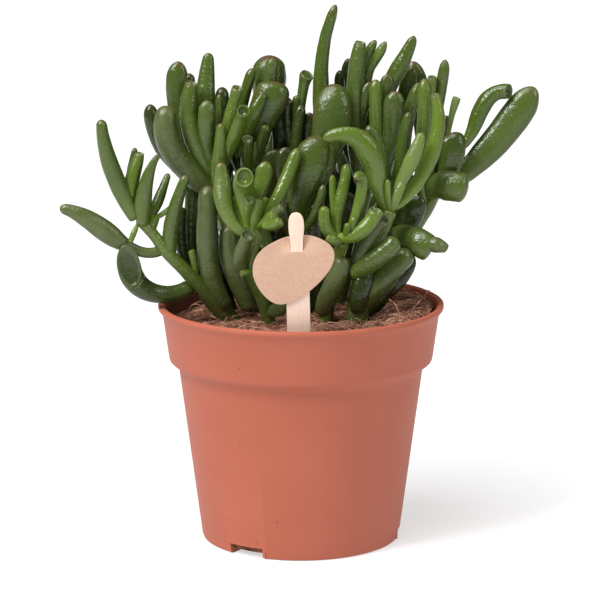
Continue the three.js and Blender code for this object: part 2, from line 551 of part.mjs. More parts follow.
// The height of the soil's top at x, y
function soilTop(x, y) {
  const reach = Math.hypot(x, y) / 56;
  const ripple = Math.sin(x * 0.31 + 1.3) * Math.cos(y * 0.27 - 0.6) + 0.5 * Math.sin(x * 0.13 - y * 0.19);
  return soilHeight + soilSlope * x + soilDome * (1 - reach * reach) * 0.6 + soilRipple * ripple;
}

// The soil fills the pot, with plain holes for the stems and the stick, and lies over the
// drain channels' hoods
function soil(stemRows) {
  const clear = wall + gap;
  const wallLine = inside.slice(0, -1).map(([r, z]) => [r - gap, z + gap]);
  const edge = collarTopRadius - clear - 1.3;
  const rings = [1, 0.84, 0.66, 0.46, 0.24];
  const level = soilHeight - 2;
  const profile = [
    [0, floorThickness + gap], ...wallLine, ...rings.map((ring) => [ring * edge, level]), [0, level],
  ];
  const lathe = turned(profile, soilSides);
  const spots = lathe.attributes.position;
  for (let i = 0; i < spots.count; i += 1) {
    if (spots.getZ(i) > level - 0.1) spots.setZ(i, soilTop(spots.getX(i), spots.getY(i)));
  }
  let body = solid(lathe);
  for (const angle of drainAngles) {
    const [from, to] = [drainInnerRadius - clear, baseRadius + 4];
    body = body.subtract(radialBox(angle, from, to, drainWidth + 2 * clear, 0, drainHeight + clear));
  }
  for (const rows of stemRows) {
    const wide = rows.map(([x, z, y, radius]) => [x, z, y, radius + gap]);
    wide[0][1] -= gap;
    body = body.subtract(stem(wide));
  }
  return body.subtract(stickHole());
}

// The label's own frame: x across, y away from the eye, z up from the height of the lip
function placeLabel(geometry) {
  geometry.rotateY(-labelTurn);
  geometry.rotateX(labelLean);
  geometry.translate(stickX, labelDepth, labelHeight);
  return geometry;
}

// A flat outline in x and z, thick in y
function plate(shape, front, back) {
  const depth = back - front;
  const geometry = new THREE.ExtrudeGeometry(shape, { depth, bevelEnabled: false, curveSegments: 10 });
  geometry.rotateX(Math.PI / 2);
  geometry.translate(0, back, 0);
  return geometry;
}

function stickShape(grow) {
  const half = stickWidth / 2 + grow;
  const neck = neckWidth / 2 + grow;
  const head = headWidth / 2 + grow;
  const shape = new THREE.Shape();
  shape.moveTo(-half, -stickBelow - grow);
  shape.lineTo(half, -stickBelow - grow);
  shape.lineTo(half, stickShoulder - 2);
  shape.quadraticCurveTo(half, stickShoulder, neck, stickShoulder);
  shape.lineTo(neck, neckHeight);
  shape.bezierCurveTo(neck, neckHeight + 3, head, neckHeight + 3, head, neckHeight + 7);
  shape.bezierCurveTo(head, headHeight - 1, head * 0.55, headHeight, 0, headHeight);
  shape.bezierCurveTo(-head * 0.55, headHeight, -head, headHeight - 1, -head, neckHeight + 7);
  shape.bezierCurveTo(-head, neckHeight + 3, -neck, neckHeight + 3, -neck, neckHeight);
  shape.lineTo(-neck, stickShoulder);
  shape.quadraticCurveTo(-half, stickShoulder, -half, stickShoulder - 2);
  return shape;
}

function stick() {
  return solid(placeLabel(plate(stickShape(0), -stickThickness / 2, stickThickness / 2)));
}

function stickHole() {
  return solid(placeLabel(plate(stickShape(gap), -stickThickness / 2 - gap, stickThickness / 2 + gap)));
}

// The card hangs in front of the stick and passes behind its neck through a slot
function card() {
  const frontBack = -stickThickness / 2 - gap;
  const rearFront = stickThickness / 2 + gap;
  const side = new THREE.Shape();
  const near = frontBack - cardThickness;
  const far = rearFront + cardThickness;
  side.moveTo(near, 0);
  side.lineTo(frontBack, 0);
  side.lineTo(frontBack, slotBottom - 1.2);
  side.bezierCurveTo(frontBack, slotBottom + 1.5, far, slotTop - 1.5, far, slotTop + 1.2);
  side.lineTo(far, 45);
  side.lineTo(rearFront, 45);
  side.lineTo(rearFront, slotTop + 1.2);
  side.bezierCurveTo(rearFront, slotTop - 1.5, near, slotBottom + 1.5, near, slotBottom - 1.2);
  const sheet = new THREE.ExtrudeGeometry(side, { depth: 60, bevelEnabled: false, curveSegments: 6 });
  sheet.translate(0, 0, -30);
  sheet.rotateX(Math.PI / 2);
  sheet.rotateZ(Math.PI / 2);
  const outline = new THREE.Shape();
  outline.moveTo(-18.6, 24.5);
  outline.bezierCurveTo(-18.6, 19, -12.5, 10, -7, 10);
  outline.bezierCurveTo(0.5, 10, 14.6, 22.5, 14.8, 30.2);
  outline.bezierCurveTo(15, 36, 8.6, 39.2, 2.8, 39.2);
  outline.bezierCurveTo(-6, 39.2, -18.6, 35.6, -18.6, 24.5);
  const slot = new THREE.Shape();
  slot.moveTo(-slotWidth / 2, slotBottom);
  slot.lineTo(slotWidth / 2, slotBottom);
  slot.lineTo(slotWidth / 2, slotTop);
  slot.lineTo(-slotWidth / 2, slotTop);
  const blank = solid(placeLabel(plate(outline, -6, 6)));
  const cut = solid(placeLabel(plate(slot, -7, 7)));
  return solid(placeLabel(sheet)).intersect(blank).subtract(cut);
}

const stemRows = [
  ...Object.values(leafyStems).map(({ parts }) => parts.stem),
  ...Object.values(rearStems).map(({ rows }) => rows),
];
add('pot', pot(), 0xc16f5b, 0.45);
add('soil', soil(stemRows), 0x5a3a2c, 0.95);
add('stick', stick(), 0xf2d9c4, 0.7);
add('card', card(), 0xddb9a0, 0.85);

export default plant;
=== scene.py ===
# A potted hobbit jade: a Crassula with finger, spoon and cup leaves in a terracotta coloured nursery
# pot of coir soil, with a card on a flat wooden stick. It stands on the pot's flat underside.
import math
import random

import bmesh
import bpy
from mathutils import Matrix, Vector, noise


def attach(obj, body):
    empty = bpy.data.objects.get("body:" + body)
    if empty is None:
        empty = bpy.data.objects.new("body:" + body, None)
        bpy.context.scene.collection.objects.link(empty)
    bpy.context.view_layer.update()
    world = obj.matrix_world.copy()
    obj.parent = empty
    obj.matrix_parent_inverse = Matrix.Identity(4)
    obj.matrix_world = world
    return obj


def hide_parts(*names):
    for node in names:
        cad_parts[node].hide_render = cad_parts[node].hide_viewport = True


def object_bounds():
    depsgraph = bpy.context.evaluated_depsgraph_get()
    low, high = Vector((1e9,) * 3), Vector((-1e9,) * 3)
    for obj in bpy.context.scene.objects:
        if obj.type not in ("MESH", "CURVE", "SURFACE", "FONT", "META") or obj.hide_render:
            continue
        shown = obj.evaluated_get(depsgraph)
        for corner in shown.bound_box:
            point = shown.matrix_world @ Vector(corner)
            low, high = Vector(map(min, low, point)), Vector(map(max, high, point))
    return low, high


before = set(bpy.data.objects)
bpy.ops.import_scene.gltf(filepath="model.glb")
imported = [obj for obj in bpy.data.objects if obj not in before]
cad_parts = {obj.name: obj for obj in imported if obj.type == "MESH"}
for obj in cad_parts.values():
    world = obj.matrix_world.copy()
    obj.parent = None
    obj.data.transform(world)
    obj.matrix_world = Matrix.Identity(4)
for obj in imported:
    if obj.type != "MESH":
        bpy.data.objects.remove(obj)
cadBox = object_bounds()
mm = 0.001
room = 0.05 * mm  # what the leaves stay inside the part's box by
print("frame loaded:", len(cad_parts), "nodes")


def addObject(name, data):  # an object at the origin of the scene
    made = bpy.data.objects.new(name, data)
    bpy.context.scene.collection.objects.link(made)
    return made


def aimed(heading):  # the turn that points a lamp along a heading
    return Vector(heading).to_track_quat("-Z", "Y").to_euler()


# The camera, in millimetres and degrees, where the photograph was taken from
cameraView = {"place": (-0.37, -1200, 353.3), "pitch": 11.84, "lens": 175.1, "sensor": 36, "near": 50}

cameraData = bpy.data.cameras.new("photoCamera")
cameraData.lens = cameraView["lens"]
cameraData.sensor_width = cameraView["sensor"]
cameraData.clip_start = cameraView["near"] * mm
photoCamera = addObject("photoCamera", cameraData)
photoCamera.location = Vector(cameraView["place"]) * mm
photoCamera.rotation_euler = (math.radians(90 - cameraView["pitch"]), 0, 0)
bpy.context.scene.camera = photoCamera
bpy.context.scene.view_settings.view_transform = "Standard"

# Softboxes: where each hangs, its width and height in metres, and its watts
softboxes = {
    "keyBox": {"place": (-0.9, -0.9, 1.3), "size": (0.4, 0.8), "power": 20},
    "fillBox": {"place": (1.1, -0.8, 0.9), "size": (0.35, 0.9), "power": 6},
}
plantMiddle = Vector((0, 0, 0.12))
for name, box in softboxes.items():
    light = bpy.data.lights.new(name, "AREA")
    light.shape = "RECTANGLE"
    light.size, light.size_y = box["size"]
    light.energy = box["power"]
    lamp = addObject(name, light)
    lamp.location = box["place"]
    lamp.rotation_euler = aimed(plantMiddle - Vector(box["place"]))

# The white ceiling over the table: even light from above, a little from the front left
ceiling = {"strength": 2.9, "spread": 50, "heading": (0.38, 0.32, -1)}
ceilingLight = bpy.data.lights.new("ceiling", "SUN")
ceilingLight.energy = ceiling["strength"]
ceilingLight.angle = math.radians(ceiling["spread"])
addObject("ceiling", ceilingLight).rotation_euler = aimed(ceiling["heading"])

roomGlow = 0.16  # what the pale walls of the studio give back
studioWorld = bpy.data.worlds.new("paleStudio")
studioWorld.use_nodes = True
background = studioWorld.node_tree.nodes["Background"]
background.inputs["Color"].default_value = (1, 1, 1, 1)
background.inputs["Strength"].default_value = roomGlow
bpy.context.scene.world = studioWorld
print("camera and lights set")


def fromHex(code):  # sRGB hex to a linear colour
    channels = [int(code[i:i + 2], 16) / 255 for i in (1, 3, 5)]
    return [c / 12.92 if c <= 0.04045 else ((c + 0.055) / 1.055) ** 2.4 for c in channels] + [1]


def addNode(tree, kind, settings=None, links=None):  # a shader node with its settings and links
    node = tree.nodes.new("ShaderNode" + kind)
    for key, value in (settings or {}).items():
        if isinstance(key, int) or key in node.inputs:
            node.inputs[key].default_value = value
        else:
            setattr(node, key, value)
    for key, socket in (links or {}).items():
        tree.links.new(socket, node.inputs[key])
    return node


def newMaterial(name, constants):  # a material with its tree, and its Principled shader with constants set
    material = bpy.data.materials.new(name)
    material.use_nodes = True
    shader = material.node_tree.nodes["Principled BSDF"]
    for key, value in constants.items():
        shader.inputs[key].default_value = value
    return material, material.node_tree, shader


def objectPlace(tree):  # the coordinate that every pattern lies in
    return addNode(tree, "TexCoord").outputs["Object"]


def noiseOf(tree, place, size, **more):  # a noise with lumps of a size in millimetres
    return addNode(tree, "TexNoise", {"Scale": 1 / (size * mm), **more}, {"Vector": place}).outputs["Fac"]


def cellsOf(tree, place, size):  # the distance to the middles of cells of a size in millimetres
    return addNode(tree, "TexVoronoi", {"Scale": 1 / (size * mm)}, {"Vector": place}).outputs["Distance"]


def ranged(tree, value, start, end, low=0, high=1):  # a value from start to end mapped to low to high
    limits = {"From Min": start, "From Max": end, "To Min": low, "To Max": high}
    return addNode(tree, "MapRange", limits, {"Value": value}).outputs[0]


def computed(tree, operation, first, second):  # two values put together
    return addNode(tree, "Math", {"operation": operation}, {0: first, 1: second}).outputs[0]


def mixed(tree, share, low, high):  # from a hex colour or a coloured socket to a hex colour
    settings, links = {"data_type": "RGBA", 7: fromHex(high)}, {0: share}
    if isinstance(low, str):
        settings[6] = fromHex(low)
    else:
        links[6] = low
    return addNode(tree, "Mix", settings, links).outputs[2]


def addBump(tree, shader, height, strength, distance):  # relief with its depth in millimetres
    bump = addNode(tree, "Bump", {"Strength": strength, "Distance": distance * mm}, {"Height": height})
    tree.links.new(bump.outputs["Normal"], shader.inputs["Normal"])


def smooth(low, high, value):  # 0 to 1 between two bounds, eased at both ends
    t = min(max((value - low) / (high - low), 0), 1)
    return t * t * (3 - 2 * t)


def between(rows, place):  # the value at a place of rows (value, place), with rounded bends
    last = len(rows) - 1
    k = 0
    while k < last - 1 and place > rows[k + 1][1]:
        k += 1
    (v1, t1), (v2, t2) = rows[k], rows[k + 1]
    v0, t0 = rows[max(k - 1, 0)]
    v3, t3 = rows[min(k + 2, last)]
    slope1 = (v2 - v0) / (t2 - t0) if t2 > t0 else 0
    slope2 = (v3 - v1) / (t3 - t1) if t3 > t1 else 0
    step = t2 - t1
    u = min(max((place - t1) / step, 0), 1)
    return (
        (2 * u ** 3 - 3 * u ** 2 + 1) * v1 + (u ** 3 - 2 * u ** 2 + u) * step * slope1
        + (3 * u ** 2 - 2 * u ** 3) * v2 + (u ** 3 - u ** 2) * step * slope2
    )


def addPiece(name, mesh, material, slot, *nodes):  # an object at the origin that rides on the part
    piece = addObject(name, mesh)
    mesh.materials.append(material)
    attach(piece, "root")
    if nodes:
        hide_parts(*nodes)
    return piece


def meshFrom(form, name, sharpAngle=None):  # a bmesh made a mesh, shaded smooth
    mesh = bpy.data.meshes.new(name)
    form.to_mesh(mesh)
    form.free()
    mesh.shade_smooth()
    if sharpAngle:
        mesh.set_sharp_from_angle(angle=math.radians(sharpAngle))
    return mesh


def evaluatedMesh(item):  # what an object's curve or modifier makes of it
    bpy.context.view_layer.update()
    return bpy.data.meshes.new_from_object(item.evaluated_get(bpy.context.evaluated_depsgraph_get()))


def curveMesh(name, curve):
    helper = addObject(name, curve)
    mesh = evaluatedMesh(helper)
    bpy.data.objects.remove(helper)
    return mesh


def spun(rows, sides, weld=1e-5):  # rows of (radius, height) turned about Z
    form = bmesh.new()
    corners = [form.verts.new((radius, 0, height)) for radius, height in rows]
    edges = [form.edges.new(pair) for pair in zip(corners, corners[1:])]
    bmesh.ops.spin(
        form, geom=corners + edges, cent=(0, 0, 0), axis=(0, 0, 1),
        angle=math.tau, steps=sides, use_merge=True,
    )
    bmesh.ops.remove_doubles(form, verts=form.verts, dist=weld)
    bmesh.ops.recalc_face_normals(form, faces=form.faces)
    return form


# A form's rows are (share of the half width, place along the leaf). flat is thickness over width,
# cap the share of the length that the tip rounds off in, hollow the depth of a cup's end over the
# length, and slant how far its rim leans towards the eye, over the half width.
leafForms = {
    "finger": {
        "flat": 0.85, "cap": 0.1,
        "rows": [(0.56, 0), (0.84, 0.2), (1.02, 0.5), (0.98, 0.8), (0.88, 1)],
    },
    "thick": {
        "flat": 0.85, "cap": 0.09,
        "rows": [(0.72, 0), (0.94, 0.25), (1.02, 0.5), (0.97, 0.76), (0.8, 1)],
    },
    "taper": {
        "flat": 0.85, "cap": 0.06,
        "rows": [(0.7, 0), (0.97, 0.22), (1.02, 0.45), (0.87, 0.68), (0.66, 0.9), (0.56, 1)],
    },
    "spike": {
        "flat": 0.7, "cap": 0.04,
        "rows": [(0.62, 0), (1, 0.24), (0.96, 0.44), (0.6, 0.76), (0.38, 0.94), (0.34, 1)],
    },
    "lance": {
        "flat": 0.7, "cap": 0.06,
        "rows": [(0.46, 0), (0.78, 0.3), (1.02, 0.6), (0.85, 0.8), (0.62, 0.94), (0.54, 1)],
    },
    "spindle": {
        "flat": 0.6, "cap": 0.05,
        "rows": [(0.4, 0), (0.58, 0.32), (1.02, 0.56), (0.88, 0.76), (0.54, 0.95), (0.48, 1)],
    },
    "claw": {
        "flat": 0.6, "cap": 0.07,
        "rows": [(0.42, 0), (0.6, 0.14), (0.92, 0.34), (1, 0.5), (0.74, 0.74), (0.5, 0.92), (0.46, 1)],
    },
    "spoon": {
        "flat": 0.5, "cap": 0.15,
        "rows": [(0.46, 0), (0.68, 0.28), (0.9, 0.5), (1.02, 0.74), (0.99, 0.88), (0.94, 1)],
    },
    "egg": {
        "flat": 0.5, "cap": 0.2,
        "rows": [(0.46, 0), (0.7, 0.3), (0.96, 0.55), (1.01, 0.7), (0.94, 0.86), (0.84, 1)],
    },
    "paddle": {
        "flat": 0.62, "cap": 0.1,
        "rows": [(0.44, 0), (0.74, 0.2), (1, 0.48), (1.04, 0.7), (1, 0.9), (0.96, 1)],
    },
    "club": {
        "flat": 0.85, "cap": 0.11,
        "rows": [(0.44, 0), (0.58, 0.3), (0.72, 0.5), (1, 0.78), (0.96, 0.91), (0.9, 1)],
    },
    "horn": {
        "flat": 0.85, "hollow": 0.03, "slant": 0.2,
        "rows": [(0.5, 0), (0.84, 0.24), (1.02, 0.5), (0.92, 0.76), (0.72, 0.94), (0.6, 1)],
    },
    "cup": {
        "flat": 0.85, "hollow": 0.07, "slant": 0.4,
        "rows": [(0.5, 0), (0.84, 0.3), (0.96, 0.62), (0.86, 0.87), (0.92, 0.985), (0.86, 1)],
    },
    "flared": {
        "flat": 0.95, "hollow": 0.02, "slant": 0.1,
        "rows": [(0.6, 0), (0.62, 0.5), (0.72, 0.8), (0.96, 0.96), (0.88, 1)],
    },
    "ear": {
        "flat": 0.8, "hollow": 0.04, "slant": 1.7,
        "rows": [(0.66, 0), (0.72, 0.35), (0.86, 0.65), (0.97, 0.86), (0.97, 1)],
    },
    "stem": {"flat": 1, "cap": 0.03, "rows": [(1, 0), (1, 0.5), (1, 1)]},
}

# What a leaf's skin looks like, each from 0 to 1: grey wax, yellow-green youth, brown-red where the
# sun caught it, darkness, partly an old leaf's deeper green and partly painted shade on the dark
# leaves deep in the plant, and how lumpy it is
skinParts = ("waxAndLitSide", "youth", "red", "dark", "lumps")
leafLooks = {
    "plain": (0.25, 0.22, 0.45, 0.1, 0.5), "glossy": (0.05, 0.2, 0.35, 0.15, 1),
    "hoary": (0.6, 0.1, 0.5, 0.1, 0.4), "ear": (0.2, 0.05, 0.7, 0.3, 0.3),
    "fresh": (0.1, 0.42, 0.55, 0, 0.5), "young": (0.12, 0.6, 0.5, 0, 0.4),
    "sprig": (0.45, 0.45, 0.9, 0, 0.3), "pale": (0.6, 0.85, 0.2, 0, 0.3),
    "bronzed": (0.2, 0.15, 1, 0.15, 0.6), "dark": (0.1, 0.05, 0.6, 0.6, 0.6),
    "stem": (0.35, 0.55, 0.2, 0.05, 0.6),
}
leafGrid = {"sides": 24, "rings": 24, "capRings": 7, "lumpSize": 7, "lumpHeight": 0.07}
# What the skin's tone gains: youth at a leaf's foot, wax on a cup's rim, painted shade on the right
# side of each leaf and inside a cup, and darkness low on the plant, which ends between two heights in
# millimetres
leafTones = {
    "footYouth": 0.35, "rimWax": 0.75, "shadedSideDark": 0.24, "cupShade": 0.3, "lowDark": 0.22,
    "lowBand": (98, 122),
}
photoEye = Vector((0, -1200, 353.3))  # millimetres; the tables' x and z are read from here


def makeForm(name):  # a leaf form of unit half width and length, turned about Z
    form = leafForms[name]
    rows, rings = form["rows"], leafGrid["rings"]
    profile = [(0, 0)]
    if "hollow" in form:
        depth = form["hollow"]
        profile += [(between(rows, k / rings), k / rings) for k in range(rings + 1)]
        rim = rows[-1][0]
        inner = [(0.98, 0.006), (0.92, 0.009), (0.86, 0.004), (0.8, -0.3 * depth)]
        inner += [(0.66, -0.62 * depth), (0.44, -0.88 * depth), (0.2, -depth)]
        profile += [(rim * share, 1 + drop) for share, drop in inner] + [(0, 1 - depth)]
    else:
        start, capRings = 1 - form["cap"], leafGrid["capRings"]
        profile += [(between(rows, start * k / rings), start * k / rings) for k in range(rings)]
        for k in range(capRings):
            turn = math.radians(90) * k / capRings
            place = start + (1 - start) * math.sin(turn)
            profile.append((between(rows, place) * math.cos(turn), place))
        profile.append((0, 1))
    return meshFrom(spun(profile, leafGrid["sides"], 1e-6), name + "Form")


formMeshes = {name: makeForm(name) for name in leafForms}


def seen(row):  # the point, in millimetres, of a table's (x, z, depth)
    onPlane = Vector((row[0], 0, row[1]))
    return photoEye.lerp(onPlane, (row[2] - photoEye.y) / -photoEye.y)


def evenSpine(points):  # a smooth line through a leaf's few points, evenly spaced along it
    last = len(points) - 1

    def at(t):
        spot = Vector()
        for i, point in enumerate(points):
            weight = 1
            for j in range(last + 1):
                if j != i:
                    weight *= (t * last - j) / (i - j)
            spot += point * weight
        return spot
    return at


def stemLine(points):  # a smooth line through any number of points
    last = len(points) - 1

    def at(t):
        k = min(int(t * last), last - 1)
        u = t * last - k
        b, c = points[k], points[k + 1]
        a = points[k - 1] if k else 2 * b - c
        d = points[k + 2] if k + 2 <= last else 2 * c - b
        return 0.5 * (
            2 * b + (c - a) * u + (2 * a - 5 * b + 4 * c - d) * u * u + (3 * b - a - 3 * c + d) * u ** 3
        )
    return at


def lineFrame(line, place):  # a line's point at a place, and the directions across, through and ahead
    t = min(max(place, 0), 1)
    at = line(t)
    ahead = (line(min(t + 0.01, 1)) - line(max(t - 0.01, 0))).normalized()
    if place > 1:  # a cup's rim, past the line's end by its share of a 40 mm leaf
        at += ahead * (place - 1) * 40
    across = (at - photoEye).cross(ahead).normalized()
    return at, across, across.cross(ahead), ahead


def radiusAt(radii, place):  # a stem's radius between its rows
    spot = min(max(place, 0), 1) * (len(radii) - 1)
    k = min(int(spot), len(radii) - 2)
    return radii[k] + (radii[k + 1] - radii[k]) * (spot - k)


def addLeaf(piece, formName, half, line, look, seed, radii=None):
    # Bends a copy of a form along a line, broad face to the eye, and writes how its skin looks
    form, skin = leafForms[formName], dict(zip(skinParts, leafLooks[look]))
    flat, slant, cupped = form["flat"], form.get("slant", 0), "hollow" in form
    endShare, lumpSize = form["rows"][-1][0], leafGrid["lumpSize"]
    first = len(piece.verts)
    piece.from_mesh(formMeshes[formName])
    piece.verts.ensure_lookup_table()
    tone = piece.verts.layers.float_color["leafTone"]
    shift = Vector((seed * 3.7 % 91, seed * 7.3 % 83, seed * 1.9 % 71))
    frames = {}
    for corner in piece.verts[first:]:
        x, y, place = corner.co
        fromAxis = math.hypot(x, y)
        inside = place > 1.001 or (cupped and fromAxis < 0.85 * endShare and place > 0.8)
        key = round(place, 5)
        if key not in frames:
            frames[key] = lineFrame(line, place)
        at, across, through, ahead = frames[key]
        wide = radiusAt(radii, place) if radii else half
        spot = at + across * (x * wide) + through * (y * wide * flat)
        spot -= ahead * (slant * y * wide * smooth(0.8, 1, place))
        lump = noise.noise(spot / lumpSize + shift) + 0.5 * noise.noise(spot / (0.45 * lumpSize) - shift)
        swell = lump * leafGrid["lumpHeight"] * skin["lumps"] * wide * (0.2 if inside else 1)
        outward = across * x + through * y
        if outward.length > 1e-6:
            spot += outward.normalized() * swell
        corner.co = [min(max(c, low + room), high - room) for c, low, high in zip(spot * mm, *cadBox)]

        margin = smooth(0.8, 1, abs(x)) * smooth(0.35, 0.75, place) * (0.7 if flat < 0.7 else 0.2)
        tip = smooth(0.94, 1, place) if not cupped else 0.8 * smooth(0.975, 0.996, place) * (not inside)
        red = skin["red"] * max(tip * 0.6, margin * 0.6)
        red = min(1, red * (1 + 0.5 * noise.noise(spot / 2.5 + shift)))
        youth = skin["youth"] + (1 - skin["dark"]) * leafTones["footYouth"] * (1 - smooth(0, 0.45, place))
        shadedSide = smooth(0.1, 0.95, outward.x)  # painted light and shade: the more a side faces right, the less wax and the darker it is
        rim = cupped and place > 0.985 and fromAxis > 0.75 * endShare
        waxAndLitSide = leafTones["rimWax"] if rim else skin["waxAndLitSide"] * (1.15 - 0.85 * shadedSide)
        # darker and less yellow-green below a band of heights
        lowness = 1 - smooth(*leafTones["lowBand"], spot.z)
        dark = skin["dark"] + leafTones["shadedSideDark"] * shadedSide + leafTones["lowDark"] * lowness
        # painted shade inside a cup
        dark += leafTones["cupShade"] if inside and cupped and not rim else 0
        corner[tone] = (waxAndLitSide, min(youth * (1 - 0.75 * lowness), 1), red, min(dark, 1))


def newPlantPiece(stem, seed):  # a piece that holds its stem, ready for leaves
    piece = bmesh.new()
    piece.verts.layers.float_color.new("leafTone")
    line = stemLine([seen(row) for row in stem])
    addLeaf(piece, "stem", 1, line, "stem", seed, [row[3] for row in stem])
    return piece


# The stems that the photograph shows. A stem's rows are (x, z, depth, radius). A leaf is its form, its
# width, its look and the (x, z, depth) of three to five points from foot to tip, all in millimetres.

leafyStems = {}

leafyStems["stem_left"] = {"slot": "leaf_grey_green", "stem": [
    (-26, 80, 1, 4), (-28, 91, 0, 4), (-35, 99, -4, 3.8), (-42.9, 108.2, -8, 3.2), (-49.3, 115.2, -11, 2.8),
    (-56.6, 122.8, -14, 2.7), (-61.4, 129.4, -15, 2.3), (-68, 137, -16, 2.6),
], "leaves": [
    (
        "taper", 7.3, "plain",
        (-69.3, 136.6, -17), (-75.9, 150.3, -19), (-80.8, 164.4, -21), (-82.8, 178.2, -22),
    ),
    ("horn", 6.2, "fresh", (-69.6, 136.2, -16), (-71.7, 145.1, -17), (-69.8, 154.6, -16), (-67, 163.8, -15)),
    ("taper", 3.8, "plain", (-69.8, 136.2, -14), (-71.4, 147.2, -10), (-70.6, 157.7, -8), (-68.8, 166.4, -7)),
    ("spike", 7, "plain", (-66.2, 133.8, -17), (-65.7, 143.6, -19), (-63.7, 154.2, -20), (-59.2, 163.2, -20)),
    ("taper", 4.4, "plain", (-63.4, 136.6, -14), (-60, 142.9, -11), (-57.6, 148.9, -9), (-55.1, 155.6, -7)),
    (
        "taper", 6.4, "plain",
        (-54.5, 119.2, -13), (-54.6, 130.2, -14), (-52.1, 142.2, -15), (-47.7, 154.8, -16),
    ),
    ("finger", 2.2, "young", (-63.4, 136.2, -15), (-58.5, 138, -14.5), (-52.9, 142.6, -14.5)),
    ("finger", 2.4, "young", (-68.3, 133.8, -17), (-69.9, 130.2, -18), (-71.5, 126.3, -19)),
    (
        "spindle", 8.6, "hoary",
        (-57.7, 123.8, -14), (-71.5, 124.1, -16), (-85.2, 133.6, -18), (-100.7, 140.9, -18),
    ),
    ("ear", 10.2, "ear", (-47, 107.1, -9), (-55.8, 104.1, -12), (-65.9, 106.5, -15), (-72, 115.9, -20)),
    ("finger", 5, "dark", (-45.4, 112.4, -6), (-49.9, 124, -4), (-50.6, 133.5, -3), (-49.9, 141.5, -2)),
    ("finger", 6.4, "dark", (-42.3, 109.2, -2), (-45.4, 123.1, 2), (-45.7, 136.9, 4), (-44.8, 152.3, 5)),
    ("thick", 8.8, "hoary", (-31.5, 99.2, -5), (-38.1, 115, -8), (-39.2, 132.5, -9), (-39, 150.3, -9)),
    ("thick", 9, "hoary", (-21.9, 98.5, -2), (-26.6, 110.3, -4), (-29.7, 121.5, -5), (-29.8, 133.8, -5)),
    ("spoon", 9, "dark", (-28.5, 97, 1), (-32, 105, 2), (-34.6, 115, 3), (-36, 127, 3)),
    ("finger", 3, "young", (-43.9, 111.6, -9), (-44.9, 118.9, -11), (-46.1, 123.1, -12)),
    ("finger", 5, "young", (-63.2, 129.5, -14.5), (-62.4, 134, -14.5), (-60.6, 138, -14)),
    ("finger", 4, "plain", (-55.5, 123.5, -13.5), (-62, 121.8, -14), (-68.5, 122.3, -15)),
]}

leafyStems["stem_front_left"] = {"slot": "leaf_light", "stem": [
    (-13, 80, -14, 3), (-13.5, 93, -15, 3), (-17, 104, -18, 2.6), (-21, 113.5, -21, 2.3),
    (-19.8, 122, -23, 1.7), (-18, 128.5, -24, 2.2), (-19.8, 133.5, -24, 2.4),
], "leaves": [
    (
        "lance", 7.8, "sprig",
        (-23.9, 129.9, -24), (-30.8, 138.8, -22), (-32.6, 148.9, -18), (-33.5, 160.1, -17),
    ),
    ("finger", 3.8, "young", (-21, 131.5, -22), (-26.3, 137, -19), (-28.3, 146.3, -17)),
    ("cup", 9.2, "young", (-20.5, 132, -23), (-22.6, 143, -23), (-24, 151, -26), (-23.4, 153.8, -34)),
    ("spoon", 7, "fresh", (-19.5, 133, -23), (-18.7, 144, -20), (-15.9, 153, -18), (-16, 160.4, -17)),
    ("cup", 4.2, "young", (-21, 133, -24), (-22, 139, -27), (-21.2, 144.4, -31)),
    ("finger", 5, "young", (-19.5, 132, -25), (-18.6, 139, -27), (-17.9, 145, -28)),
    ("finger", 3.6, "young", (-18.5, 132, -24), (-16.5, 139, -22), (-14.3, 145.5, -21)),
    ("finger", 5.4, "fresh", (-19, 131, -24), (-11, 143, -23), (-6, 153.5, -20), (-1.2, 166.3, -17)),
    ("club", 6, "young", (-20, 132.9, -25), (-15, 135, -27), (-10, 137.9, -30)),
    ("cup", 6.4, "hoary", (-20.5, 113.5, -21), (-25.4, 116.7, -25), (-24.4, 123.1, -28), (-22.2, 129.4, -31)),
    ("finger", 3.2, "young", (-19.9, 114.9, -22), (-22.7, 113.5, -25), (-25.4, 113, -27)),
    ("spoon", 7, "hoary", (-16, 97.5, -15), (-12, 97, -19), (-9, 98.5, -21), (-7, 102, -22)),
    ("finger", 4.6, "young", (-15.7, 133.6, -29), (-11.5, 133.8, -32), (-8.3, 135.5, -35)),
    ("finger", 4.4, "hoary", (-17.1, 135.2, -26), (-11.9, 138.4, -27), (-7.3, 141.2, -29)),
]}

